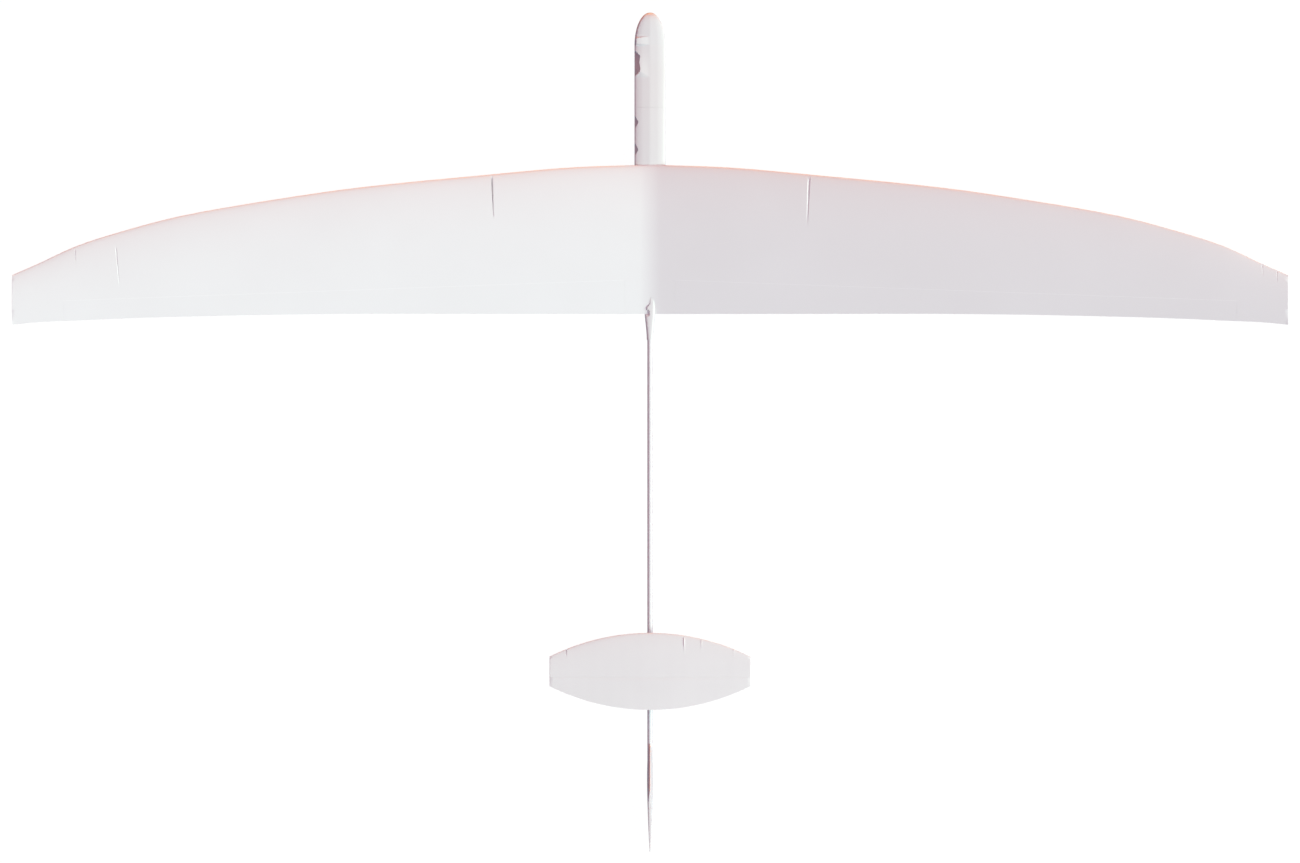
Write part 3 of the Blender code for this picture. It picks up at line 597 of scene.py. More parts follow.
# %% Wing shell
SECTION_STEPS = 48
stations = [0.0, 0.002, 0.004, 0.006, 0.008, 0.010, 0.012, 0.016, 0.024, 0.036, 0.052, 0.072, 0.094, 0.118,
            0.141, 0.164, 0.205, 0.226, 0.252, 0.280, 0.310, 0.341, 0.368, 0.394, 0.420, 0.447, 0.474, 0.500,
            0.526, 0.553, 0.578, 0.603, 0.650, 0.664, 0.688, 0.698, 0.708, 0.728, 0.746, 0.7498]
stations = sorted(stations + crease_lines(WING_CREASES))
moves = []
for near, far in zip(stations, stations[1:]):
    (y0, chord0, thick0, z0), (y1, chord1, thick1, z1) = wing_rib(near), wing_rib(far)
    scale = (1, chord1 / chord0, chord1 * thick1 / (chord0 * thick0))
    moves.append(((far - near, y1 - y0, z1 - z0), scale, (far, y1, z1)))
y, chord, thick, z = wing_rib(HALF_WING)
moves.append(((HALF_WING - stations[-1], 0, 0), (1, 0.9985, 0.88),
              (HALF_WING, y + chord / 2, z + CAMBER * thick * chord)))

y, chord, thick, z = wing_rib(0.0)
outline = [(0, y + aft, z + up) for aft, up in section(chord, thick, CAMBER, SECTION_STEPS)]
wing = extrude_rings("wing_shell", outline, moves, closed=False)
apply(wing, "MIRROR", merge_threshold=0.00001)
outward(wing)
press_creases(wing, WING_CREASES, wing_rib)
print("wing shell", len(wing.data.polygons), "faces")

# %% [markdown]
# The flaperons are cut out of the same moulding, so a copy of the wing is sliced at the hinge line and at
# both ends, and what is left is the flaperon. The front face is bevelled by 45 degrees below the hinge, so
# that it can drop. The skin itself is the hinge, so the gap on top is only a hair's width: the photograph
# shows none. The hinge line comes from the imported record.

# %% Flaperons
HAIR, END_GAP, BEVEL_DROP = 0.00006, 0.00005, 0.0001
FLAPERON_LENGTH = 0.66443
BAY_LENGTH, BAY_HALF = 0.06, 0.02
flaperons = {}
for word, side in (("left", 1), ("right", -1)):
    joint = hinges[f"{word}_flaperon_hinge"]
    inner = Vector(joint["pos_m"])
    along = Vector(joint["axis"]).normalized() * side
    aft = Vector((0, 1, 0))
    aft = (aft - along * aft.dot(along)).normalized()
    up = aft.cross(along) * -side
    bevel_top = inner - up * BEVEL_DROP
    flaperon = duplicate(wing, f"{word}_flaperon_shell")
    slice_off(flaperon, inner + along * END_GAP, -along)
    slice_off(flaperon, inner + along * (FLAPERON_LENGTH - END_GAP), along)
    slice_off(flaperon, inner + aft * HAIR, -aft)
    slice_off(flaperon, bevel_top + aft * HAIR, (-aft - up).normalized())
    flaperons[word] = (flaperon, (inner, along, aft, up))

    profile = ((-HAIR, -BAY_HALF), (-HAIR, BAY_HALF), (BAY_LENGTH, BAY_HALF), (BAY_LENGTH, -BAY_HALF))
    carve(wing, extrude_rings("bay", [inner + aft * a + up * b for a, b in profile],
                              [(along * FLAPERON_LENGTH, *AS_IS)]))
print("wing with its bays:", len(wing.data.polygons), "faces")

# %% [markdown]
# The pod is a slim moulded shell. Its deck is gently crowned between tight shoulders, and the belly is
# rounder and flat where it lies on the ground. Its sections change in width, height and fullness, so after
# each extrusion the new ring's points are pushed on to the section of that station.

# %% Pod sections
NOSE_Y, NOSE_LENGTH, HALF_WIDTH = -0.494, 0.038, 0.01825
# The height of the nose's middle, its half height, and how blunt its upper half is. 2 is an ellipse.
NOSE_MIDDLE, NOSE_RISE, BROW = 0.0181, 0.0191, 6
# How full the deck's and the belly's corners are, where 2 is an ellipse too, and the deck's crown.
FULL, BELLY, DECK_CROWN = 14.0, 2.4, 0.0024
# Station aft of the nose, half width, belly height, deck height, fullness of the deck's shoulders.
POD_SECTIONS = (
    (0.038, 0.01825, -0.0010, 0.0372, FULL),
    (0.060, 0.01825, -0.0012, 0.0386, FULL),
    (0.090, 0.01825, -0.0012, 0.0414, FULL),
    (0.125, 0.01825, -0.0012, 0.0442, FULL),
    (0.160, 0.01825, -0.0012, 0.0458, FULL),
    (0.195, 0.01820, -0.0012, 0.0464, FULL),
    (0.228, 0.01770, -0.0011, 0.0466, FULL),
    (0.256, 0.01620, 0.0020, 0.0466, 8.0),
    (0.282, 0.01400, 0.0085, 0.0466, 4.5),
    (0.304, 0.01170, 0.0170, 0.0467, 3.2),
    (0.322, 0.00960, 0.0252, 0.0478, 3.2),
    (0.336, 0.00785, 0.0315, 0.0490, 3.4),
    (0.346, 0.00685, 0.0361, 0.0491, 3.6),
    (0.357, 0.00615, 0.0388, 0.0491, 3.6),
    (0.367, 0.00515, 0.0399, 0.0489, 3.2),
    (0.378, 0.00410, 0.0410, 0.0486, 2.6),
    (0.386, 0.00375, 0.0414, 0.0485, 2.2),
)
# Points of the fine outline and of a ring, and how much length a radian of bend counts for.
OUTLINE_STEPS, RING_POINTS, CORNER = 720, 108, 0.006


def pod_size(station):
    """Half width, belly, deck and fullness of the pod. The nose is rounder below than above."""
    if station >= NOSE_LENGTH:
        return between(POD_SECTIONS, station)[1:]
    short = 1 - max(0.0, station) / NOSE_LENGTH
    swell, brow = sqrt(1 - short**2), (1 - short**BROW) ** (1 / BROW)
    return HALF_WIDTH * swell, NOSE_MIDDLE - NOSE_RISE * swell, NOSE_MIDDLE + NOSE_RISE * brow, FULL


def pod_outline(station, inset=0.0):
    """The pod's section as a fine outline, from its left side over the deck and round the belly."""
    half_width, belly, deck, full = pod_size(station)
    middle, half_height = (belly + deck) / 2, (deck - belly) / 2 - inset
    half_width -= inset
    crown = DECK_CROWN * half_width / HALF_WIDTH * (full - 2) / (FULL - 2)
    fine = []
    for i in range(OUTLINE_STEPS + 1):
        across, upward = cos(tau * i / OUTLINE_STEPS), sin(tau * i / OUTLINE_STEPS)
        power = 2 / (full if upward >= 0 else min(full, BELLY))
        x = half_width * copysign(abs(across) ** power, across)
        z = middle + half_height * copysign(abs(upward) ** power, upward)
        fine.append((x, z - max(0.0, upward) * crown * (x / half_width) ** 2))
    return fine


def spread(fine, y):
    """Spread a ring's points along a fine outline, closer in its corners."""
    run, heading = [0.0], None
    for a, b in zip(fine, fine[1:]):
        turned = atan2(b[1] - a[1], b[0] - a[0])
        bend = 0.0 if heading is None else abs((turned - heading + pi) % tau - pi)
        run.append(run[-1] + hypot(b[0] - a[0], b[1] - a[1]) + CORNER * bend)
        heading = turned
    ring, index = [], 0
    for i in range(RING_POINTS):
        goal = run[-1] * i / RING_POINTS
        while run[index + 1] < goal:
            index += 1
        share = (goal - run[index]) / (run[index + 1] - run[index])
        a, b = fine[index], fine[index + 1]
        ring.append(Vector((a[0] + (b[0] - a[0]) * share, y, a[1] + (b[1] - a[1]) * share)))
    return ring


def pod_ring(station, inset=0.0):
    """The points of the pod's section at a station."""
    return spread(pod_outline(station, inset), NOSE_Y + station)


def around(ring):
    """A ring's items in order round its middle, from the one furthest left."""
    def place(item):
        return getattr(item, "co", item)

    heights = [place(item).z for item in ring]
    middle = (max(heights) + min(heights)) / 2
    return sorted(ring, key=lambda item: atan2(place(item).z - middle, place(item).x) % tau)


def extrude_pod(name, rings, closed=True):
    """Extrude a ring from station to station and push its new points on to each section."""
    steps = [((0, b[0].y - a[0].y, 0), *AS_IS) for a, b in zip(rings, rings[1:])]
    piece = extrude_rings(name, rings[0], steps, closed)
    levels = {}
    for vertex in piece.data.vertices:
        levels.setdefault(round(vertex.co.y, 5), []).append(vertex)
    for ring in rings:
        level = levels.pop(round(ring[0].y, 5))
        for vertex, point in zip(around(level), around(ring)):
            vertex.co = point
    return piece


print("pod", round(2000 * HALF_WIDTH, 1), "mm wide,", RING_POINTS, "points a ring")

# %% [markdown]
# The photograph shows knocks in the pod's left shoulder: a long dent on the nose cone, two short ones
# nearer the wing, and on the nose two raised bands that end in folds. A dent is a steep facet with a broken
# inner edge. Where a ring of the pod's section crosses one, its points outside the facet are moved onto it,
# and the rings stand close together there, as a sculptor would add cuts before pressing clay in.

# %% Dents
# For each dent the facet's steepness, then the broken edge: distance aft and how far out it lies.
DENTS = (
    (62, ((-0.4484, 0.0178), (-0.4477, 0.0161), (-0.4426, 0.0115), (-0.4357, 0.0126), (-0.4264, 0.0111),
          (-0.4202, 0.0161), (-0.4194, 0.0178))),
    (66, ((-0.3708, 0.0172), (-0.3645, 0.0134), (-0.3574, 0.0172))),
    (66, ((-0.3386, 0.0172), (-0.3322, 0.0136), (-0.3256, 0.0172))),
)
# Distance aft and width of the strip that is flattened along the nose's left edge.
NOSE_EDGE = (
    (-0.4932, 0.0004), (-0.4900, 0.0013), (-0.4780, 0.0016), (-0.4655, 0.0016), (-0.4570, 0.0019),
    (-0.4548, 0.0012), (-0.4480, 0.0008),
)
# That strip's steepness, how far its top lies below the deck, and the reach that its slant is measured over.
FACET, EDGE_DROP, LEAN_STEP = radians(66), 0.0004, 0.0002
# How far inside its edge a facet meets the deck, and the fewest points that it moves.
FOOT_ROOM, FEWEST = 0.0003, 4


def on_line(line, y):
    """What a broken line's rows say at a distance aft, or None beyond its ends."""
    for (y0, *first), (y1, *second) in zip(line, line[1:]):
        if y0 <= y < y1:
            return [a + (b - a) * (y - y0) / (y1 - y0) for a, b in zip(first, second)]
    return None


def crossing(a, b, height):
    """The point between two others where a height above a sloping line changes its sign."""
    return a.lerp(b, height(a) / (height(a) - height(b)))


def dented_ring(station):
    """The pod's ring, its points outside a dent's facet moved onto the facet and its upright edge."""
    ring, y = pod_ring(station), NOSE_Y + station
    for steepness, line in DENTS:
        found, slope = on_line(line, y), tan(radians(steepness))
        if not found:
            continue
        edge, foot = found[0], min(x for _, x in line) - FOOT_ROOM
        inner = next(i for i in range(RING_POINTS) if ring[i].x < foot)
        level = crossing(ring[inner - 1], ring[inner], lambda point: point.x - foot).z
        over = lambda point: point.z - level + (point.x - foot) * slope
        out = [i for i in range(1, inner) if over(ring[i]) > 0 and ring[i].x > edge]
        if len(out) < FEWEST:
            continue
        low = crossing(ring[out[0] - 1], ring[out[0]], over)
        high = crossing(ring[out[-1]], ring[out[-1] + 1], lambda point: point.x - edge)
        corner = Vector((edge, y, level - (edge - foot) * slope))
        for step, i in enumerate(out[:-1]):
            ring[i] = low.lerp(corner, step / (len(out) - 2))
        ring[out[-1]] = high
    return ring


def knock_in(piece, line):
    """Flatten the left shoulder to a steep facet of changing width, measured in from the pod's outline."""
    for vertex in piece.data.vertices:
        x, y, z = vertex.co
        found = on_line(line, y)
        if not found or x <= 0 or vertex.normal.z <= -0.1:
            continue
        width, (half_width, _, deck, _) = found[0], pod_size(y - NOSE_Y)
        wider, narrower = (pod_size(y - NOSE_Y + step)[0] for step in (LEAN_STEP, -LEAN_STEP))
        lean = atan2(wider - narrower, 2 * LEAN_STEP)
        out = Vector((sin(FACET) * cos(lean), -sin(FACET) * sin(lean), cos(FACET)))
        inside = (half_width - x) * cos(lean)
        top = deck - DECK_CROWN * ((half_width - width) / HALF_WIDTH) ** 2 - EDGE_DROP
        beyond = (width - inside) * sin(FACET) + (z - top) * cos(FACET)
        if beyond > 0:
            vertex.co -= out * beyond


print(len(DENTS), "dents,", len(NOSE_EDGE), "rows for the nose's edge")

# %% [markdown]
# The nose cone slips over the front of the pod and pulls forward, off the radio gear. It is a 1 mm shell,
# so it is modelled as an open skin and given its wall by a Solidify modifier. Its rings stand half a
# millimetre apart at the front band and 0.9 mm behind it, because a fold is only as sharp as the rings that
# carry it. The front band rises and falls steeply. The other rises slowly and ends in a steep fold.

# %% Nose cone
SEAM, SEAM_GAP, WALL = 0.112, 0.00005, 0.001
FINE_FROM, ROUND_FROM, TIP_RINGS = 0.0415, 0.0262, 24
# A band starts to rise, has risen, starts to fall and has fallen at these distances aft, on the middle line
# and at the shoulder. The last number is its height.
BANDS = (
    ((-0.4658, -0.4655), (-0.4657, -0.4637), (-0.4562, -0.4571), (-0.4561, -0.4553), 0.0025),
    ((-0.4550, -0.4545), (-0.4186, -0.4272), (-0.4184, -0.4270), (-0.4172, -0.4176), 0.0026),
)
BAND_INNER, BAND_WIDTH = 0.0012, 0.0145


def lift_band(piece, rise, risen, fall, fallen, height):
    """Raise a slanted band of the deck's left half, from nothing at the middle to its full height."""
    for vertex in piece.data.vertices:
        x, y, z = vertex.co
        out = min(1.0, (x - BAND_INNER) / BAND_WIDTH)
        if vertex.normal.z > 0.3 and out > 0.01:
            shares = []
            for slope in ((rise, risen), (fall, fallen)):
                first, last = (middle + (shoulder - middle) * out for middle, shoulder in slope)
                shares.append(min(1.0, max(0.0, (y - first) / (last - first))))
            vertex.co.z += height * out * (shares[0] - shares[1])


stations = [SEAM - SEAM_GAP, SEAM - 0.0008]
while stations[-1] > ROUND_FROM:
    stations.append(stations[-1] - (0.0009 if stations[-1] > FINE_FROM else 0.0005))
first = pi / 2 - acos(1 - stations[-1] / NOSE_LENGTH)
turns = [first + (pi / 2 - first) * step / TIP_RINGS for step in range(1, TIP_RINGS)]
stations += [NOSE_LENGTH * (1 - sin(turn)) for turn in turns] + [0.00001]
nose = extrude_pod("nose_cone_shell", [dented_ring(station) for station in stations], closed=False)
outward(nose)
knock_in(nose, NOSE_EDGE)
for band in BANDS:
    lift_band(nose, *band)
apply(nose, "SOLIDIFY", thickness=WALL, offset=-1)
slice_off(nose, (0, 0, 0), (0, 0, -1))
hand_over(nose, pod_white_with_painted_shade, "white_gelcoat", "nose_cap", "nose_cone")

# %% [markdown]
# The pod behind it starts with the spigot that the nose cone slips over. It is 1.3 mm smaller all round, and
# the step to full width is the seam. Behind the wing the pod narrows to a round tail cone that takes the
# boom. On the left the cone lies a little lower, where the wing's skin laps over it. The rings stand closest
# where dents and steps have to be sharp.

# %% Pod
SPIGOT, INSET, SPIGOT_EDGE, CONE_END = 0.010, 0.0013, 0.0006, 0.386
# How far apart the rings stand, up to a station.
RING_STEPS = ((0.175, 0.0012), (0.300, 0.0030), (0.332, 0.0016), (CONE_END, 0.0008))
# Along the glider, where the sunk part of the tail cone's left side starts, and how deep it is.
SUNK = (
    (-0.1640, -0.0006, 0.0), (-0.1615, -0.0006, 0.0022), (-0.1503, 0.0, 0.0024), (-0.1462, 0.0034, 0.0026),
    (-0.1438, 0.0034, 0.0026), (-0.1416, 0.0004, 0.0026), (-0.1384, 0.0002, 0.0026), (-0.1356, 0.0010, 0.0),
)
SUNK_SLOPE = 0.0008


def sunk_ring(station):
    """The pod's ring, with its left side lowered where the wing's skin laps over the tail cone."""
    ring = dented_ring(station)
    found = on_line(SUNK, NOSE_Y + station)
    if found:
        edge, depth = found
        low, top = min(point.z for point in ring), max(point.z for point in ring)
        for point in ring:
            if point.x > edge:
                share = min(1.0, (point.x - edge) / SUNK_SLOPE) * max(0.0, (point.z - low) / (top - low))
                point.z -= depth * share
    return ring


stations = [SEAM + SEAM_GAP]
while stations[-1] < CONE_END - 0.0016:
    stations.append(stations[-1] + next(step for end, step in RING_STEPS if stations[-1] < end))
rings = [pod_ring(SEAM - SPIGOT, INSET + SPIGOT_EDGE), pod_ring(SEAM - SPIGOT + SPIGOT_EDGE, INSET)]
rings += [pod_ring(SEAM + SEAM_GAP - 0.00001, INSET)] + [sunk_ring(station) for station in stations]
rings.append(pod_ring(CONE_END))
pod = extrude_pod("pod_shell", rings)
outward(pod)
slice_off(pod, (0, 0, 0), (0, 0, -1))
print("pod", len(pod.data.polygons), "faces")

# %% [markdown]
# Where the tail cone comes up through the wing's trailing edge, the wing is notched round it. The notch is
# the cone's own shape, a fraction of a millimetre larger, so a thin seam is left. On the left the wing's
# skin laps over the cone first, which gives the dark line with a nick that the photograph shows. Then the
# wing's own shape is carved out of the pod as its saddle, with what is left of the pod above the wing.

# %% Wing notch and saddle
NOTCH_START, NOTCH_END, NOTCH_STEP = 0.318, 0.392, 0.0008
SEAM_LEFT, SEAM_RIGHT, LEFT_FROM = 0.00025, 0.00012, 0.001
# The block of space above the wing that the pod leaves free.
CLEARED_AT, CLEARED_SIZE = (0, -0.245, WING_Z + 0.020), (0.06, 0.136, 0.030)
rings, station = [], NOTCH_START
while station < NOTCH_END:
    ring = sunk_ring(min(station, CONE_END - 0.0001))
    middle = sum(point.z for point in ring) / RING_POINTS
    for point in ring:
        away = Vector((point.x, 0, point.z - middle)).normalized()
        point += away * (SEAM_LEFT if point.x > LEFT_FROM else SEAM_RIGHT)
        point.y = NOSE_Y + station
    rings.append(ring)
    station += NOTCH_STEP
carve(wing, extrude_pod("notch", rings))

carve(pod, duplicate(wing, "saddle"))
bpy.ops.object.select_all(action="DESELECT")
bpy.ops.mesh.primitive_cube_add(size=1, location=CLEARED_AT, scale=CLEARED_SIZE)
carve(pod, bpy.context.object)
print("pod", len(pod.data.polygons), "faces, wing", len(wing.data.polygons), "faces")

# %% [markdown]
# The boom is plugged 28 mm into the tail cone and ends inside the fin. A circle of 32 points is extruded
# along it in short steps, and its end is chamfered. The pod gets a socket of the same size. With that the
# pod, the wing and the flaperons are finished and are handed over too.

# %% Boom
BOOM_Z, BOOM_RADIUS, BOOM_START = 0.0451, 0.0031, -0.136
BOOM_STEP, BOOM_STEPS, BOOM_LAST = 0.012, 46, 0.0117
BOOM_END = 0.428


def circle(radius, count, first=0):
    """Pairs (across, up) of points on a circle."""
    turns = [tau * i / count for i in range(first, first + count)]
    return [(radius * cos(turn), radius * sin(turn)) for turn in turns]


moves = [((0, BOOM_STEP, 0), *AS_IS)] * BOOM_STEPS + [((0, BOOM_LAST, 0), *AS_IS)]
moves.append(((0, 0.0003, 0), (0.9, 1, 0.9), (0, BOOM_END, BOOM_Z)))
boom = extrude_rings("boom_tube", [(x, BOOM_START, BOOM_Z + z) for x, z in circle(BOOM_RADIUS, 32)], moves)
carve(pod, duplicate(boom, "socket"))
hand_over(pod, pod_white_with_painted_shade, "white_gelcoat", "airframe", "pod")
hand_over(boom, painted, "white_painted_carbon", "airframe", "tail_boom")
hand_over(wing, wing_white, "white_gelcoat", "airframe", "left_wing_panel", "right_wing_panel")
for word, (flaperon, _) in flaperons.items():
    hand_over(flaperon, wing_white, "white_gelcoat", f"{word}_flap", f"{word}_flaperon")

# %% [markdown]
# The tailplane is a thin symmetric shell in plan of two equal arcs with square-cut tips. The left half is
# extruded out from the middle, scaled by the chord, and mirrored. Small creases near the front edge are
# pressed in as on the wing. The elevator is the rear part. Its nose is rounded about the hinge and turns in
# a hollow of the same shape, so no gap shows from above, as in the photograph. Rounding is done by hand:
# the cut face is extruded, narrowed and moved on to an arc, five times over. Then a copy of the elevator is
# swung past each stop and carved out of the tailplane, so that nothing touches when it moves.

# %% Tailplane and elevator
STAB_Z, STAB_Y, STAB_CHORD, ARC = 0.064, 0.2372, 0.0907, 0.264
HALF_SPAN, STAB_THICK, ELEVATOR_Y = 0.1183, 0.050, 0.2896
# How far the fixed part reaches short of the hinge, and the angles that the arc is drawn in.
LIP, NOSE_TURNS = 0.0004, (18, 36, 54, 70, 82)
ELEVATOR_STOP, RUDDER_STOP, PAST_STOP, LONGER = 20, 30, 0.5, 1.004
TAIL_STEPS, STAB_RINGS, FIN_RINGS = 22, 26, 38
# As for the wing. A negative depth is a ridge.
STAB_CREASES = (
    (0.0989, 1, 0.0988, 0.0990, 0.2560, 0.2635, 0.0015, 0.0001, 0.0020),
    (0.0405, -1, 0.0398, 0.0404, 0.2420, 0.2600, 0.0001, 0.0016, -0.0011),
    (0.0609, -1, 0.0603, 0.0605, 0.2450, 0.2575, 0.0001, 0.0013, -0.0007),
    (0.0989, -1, 0.0983, 0.0984, 0.2540, 0.2640, 0.0001, 0.0013, -0.0007),
)


def sag(x):
    """How far the front edge has fallen back at a distance from the middle."""
    return ARC - sqrt(ARC * ARC - x * x)


def stab_rib(x):
    """Leading edge, chord, thickness share and height of the tailplane at a distance from the middle."""
    return STAB_Y + sag(x), STAB_CHORD - 2 * sag(x), STAB_THICK, STAB_Z


def round_off(piece, hinge_y, cut_y, room, across, middle):
    """Round a cut face about its hinge: a nose, or with some room the hollow that it turns in."""
    edit(piece, "DESELECT")
    bpy.ops.mesh.select_mode(type="FACE")
    work = bmesh.from_edit_mesh(piece.data)
    for face in work.faces:
        face.select = abs(face.normal.y) > 0.99 and abs(face.calc_center_median().y - cut_y) < 0.00001
    bmesh.update_edit_mesh(piece.data)
    before = 0.0
    for turn in (radians(angle) for angle in NOSE_TURNS):
        thinner, centre = [1, 1, 1], [0, 0, 0]
        thinner[across], centre[across] = cos(turn) / cos(before), middle
        bpy.ops.mesh.extrude_region_move()
        bpy.ops.transform.resize(value=thinner, center_override=centre)
        work = bmesh.from_edit_mesh(piece.data)
        for vertex in work.verts:
            if vertex.select:
                half = abs(vertex.co[across] - middle)
                vertex.co.y = min(cut_y, hinge_y - sqrt((half / cos(turn) + room) ** 2 - half * half))
        bmesh.update_edit_mesh(piece.data)
        before = turn
    bpy.ops.mesh.quads_convert_to_tris(quad_method="BEAUTY", ngon_method="BEAUTY")
    bpy.ops.object.mode_set(mode="OBJECT")


def swing_clear(fixed, moving, axis, centre, stop):
    """Swing a slightly longer copy of the moving surface past both its stops, and carve what it meets."""
    for angle in (-stop - PAST_STOP, stop + PAST_STOP):
        swung = duplicate(moving, "swung")
        longer = [LONGER if letter == axis else 1.0 for letter in "XYZ"]
        bpy.ops.transform.resize(value=longer, center_override=centre)
        bpy.ops.transform.rotate(value=radians(angle), orient_axis=axis, center_override=centre)
        bpy.ops.object.transform_apply(location=True, rotation=True, scale=True)
        carve(fixed, swung)


lines = crease_lines(STAB_CREASES)
plain = [HALF_SPAN * i / STAB_RINGS for i in range(STAB_RINGS)]
stations = sorted(lines + [x for x in plain if min(abs(x - line) for line in lines) > 0.0012])
stations.append(0.1179)
moves = []
for near, far in zip(stations, stations[1:]):
    fallen, shrink = sag(far), (STAB_CHORD - 2 * sag(far)) / (STAB_CHORD - 2 * sag(near))
    moves.append(((far - near, fallen - sag(near), 0), (1, shrink, shrink), (far, STAB_Y + fallen, STAB_Z)))
for out, thin in ((0.1181, 0.8), (HALF_SPAN, 0.6)):
    moves.append(((out - stations[-1], 0, 0), (1, 0.998, thin), (out, STAB_Y + STAB_CHORD / 2, STAB_Z)))
    stations.append(out)
outline = [(0, STAB_Y + aft, STAB_Z + up) for aft, up in section(STAB_CHORD, STAB_THICK, 0.0, TAIL_STEPS)]
stab = extrude_rings("tailplane_shell", outline, moves, closed=False)
apply(stab, "MIRROR", merge_threshold=0.00001)
outward(stab)
press_creases(stab, STAB_CREASES, stab_rib)
elevator = duplicate(stab, "elevator_shell")
slice_off(stab, (0, ELEVATOR_Y - LIP, STAB_Z), (0, 1, 0))
slice_off(elevator, (0, ELEVATOR_Y, STAB_Z), (0, -1, 0))
round_off(stab, ELEVATOR_Y, ELEVATOR_Y - LIP, HAIR, 2, STAB_Z)
round_off(elevator, ELEVATOR_Y, ELEVATOR_Y, 0.0, 2, STAB_Z)
swing_clear(stab, elevator, "X", (0, ELEVATOR_Y, STAB_Z), ELEVATOR_STOP)
hand_over(stab, film, "white_film", "airframe", "stabilizer")
hand_over(elevator, film, "white_film", "elevator_flap", "elevator")

# %% [markdown]
# The pylon lifts the tailplane above the boom. It is a small moulded strut with a streamlined section that
# flares at its foot and its top. It is extruded upwards, then the boom and the tailplane are carved out of
# it, so that it sits on both.

# %% Tailplane pylon
PYLON_Y, PYLON_CHORD, PYLON_WIDTH = 0.250, 0.033, 0.0052
# Height, and how much wider or narrower the strut is there.
PYLON_LEVELS = (
    (0.0435, 1.25), (0.0490, 1.2), (0.0500, 1.06), (0.0512, 1.0), (0.0596, 1.0), (0.0608, 1.05),
    (0.0617, 1.2), (0.0632, 1.25),
)
foot, flare = PYLON_LEVELS[0]
outline = [(up, PYLON_Y + aft, foot)
           for aft, up in section(PYLON_CHORD, PYLON_WIDTH / PYLON_CHORD * flare, 0.0, 18)]
moves = [((0, 0, b[0] - a[0]), (b[1] / a[1], 1, 1), (0, 0, b[0]))
         for a, b in zip(PYLON_LEVELS, PYLON_LEVELS[1:])]
pylon = extrude_rings("tailplane_pylon", outline, moves)
carve(pylon, boom, keep=True)
carve(pylon, stab, keep=True)
hand_over(pylon, film, "white_film", "airframe", "stab_mount")

# %% [markdown]
# The fin stands on the boom's end, above and below it, and its square foot is the glider's rear rest. It is
# extruded upwards from the foot, and each ring is scaled about the straight trailing edge. The rudder is
# sliced off at the hinge line and gets the same rounded nose as the elevator.

# %% Fin and rudder
TAIL_Y, FIN_THICK, FIN_TOP, RUDDER_Y, RUDDER_FOOT = 0.494, 0.052, 0.152, 0.4439, 0.0025
# Height, leading edge.
FIN_RIBS = (
    (0.000, 0.4040),
    (0.010, 0.3920),
    (0.026, 0.3775),
    (0.045, 0.3685),
    (0.066, 0.3695),
    (0.090, 0.3770),
    (0.115, 0.3895),
    (0.136, 0.4050),
    (FIN_TOP, 0.4227),
)
levels = [FIN_TOP * i / FIN_RINGS for i in range(FIN_RINGS)] + [0.1517]
moves = []
for near, far in zip(levels, levels[1:]):
    scale = (TAIL_Y - between(FIN_RIBS, far)[1]) / (TAIL_Y - between(FIN_RIBS, near)[1])
    moves.append(((0, 0, far - near), (scale, scale, 1), (0, TAIL_Y, far)))
moves.append(((0, 0, FIN_TOP - levels[-1]), (0.7, 0.999, 1), (0, TAIL_Y, FIN_TOP)))
chord = TAIL_Y - FIN_RIBS[0][1]
outline = [(up, FIN_RIBS[0][1] + aft, 0) for aft, up in section(chord, FIN_THICK, 0.0, TAIL_STEPS)]
fin = extrude_rings("fin_shell", outline, moves)
rudder = duplicate(fin, "rudder_shell")
slice_off(fin, (0, RUDDER_Y - LIP, 0), (0, 1, 0))
slice_off(rudder, (0, 0, RUDDER_FOOT), (0, 0, -1))
slice_off(rudder, (0, RUDDER_Y, 0), (0, -1, 0))
round_off(fin, RUDDER_Y, RUDDER_Y - LIP, HAIR, 0, 0.0)
round_off(rudder, RUDDER_Y, RUDDER_Y, 0.0, 0, 0.0)
swing_clear(fin, rudder, "Z", (0, RUDDER_Y, FIN_TOP / 2), RUDDER_STOP)
carve(fin, duplicate(boom, "slot"))
hand_over(fin, film, "white_film", "airframe", "fin")
hand_over(rudder, film, "white_film", "rudder_flap", "rudder")

# %% [markdown]
# The flaperons and the elevator have horns, small carbon plates with a hole near the tip, and steel rods
# work the flaperons. A horn is drawn as an outline in its hinge's own directions, extruded through the
# plate's thickness and drilled. Its edges are bevelled, because sawn plate is always sanded.

# %% Horns
HORN_THICK, HORN_DEPTH, HORN_ROOT, HORN_TIP = 0.0012, 0.011, 0.008, 0.003
HORN_AFT, ELEVATOR_HORN_AFT = 0.0065, 0.0045


def drill(piece, place, radius, depth, points, turn=(0, 0, 0)):
    """Drill a round hole through a piece."""
    bpy.ops.object.select_all(action="DESELECT")
    bpy.ops.mesh.primitive_cylinder_add(vertices=points, radius=radius, depth=depth, location=place,
                                        rotation=turn)
    carve(piece, bpy.context.object)


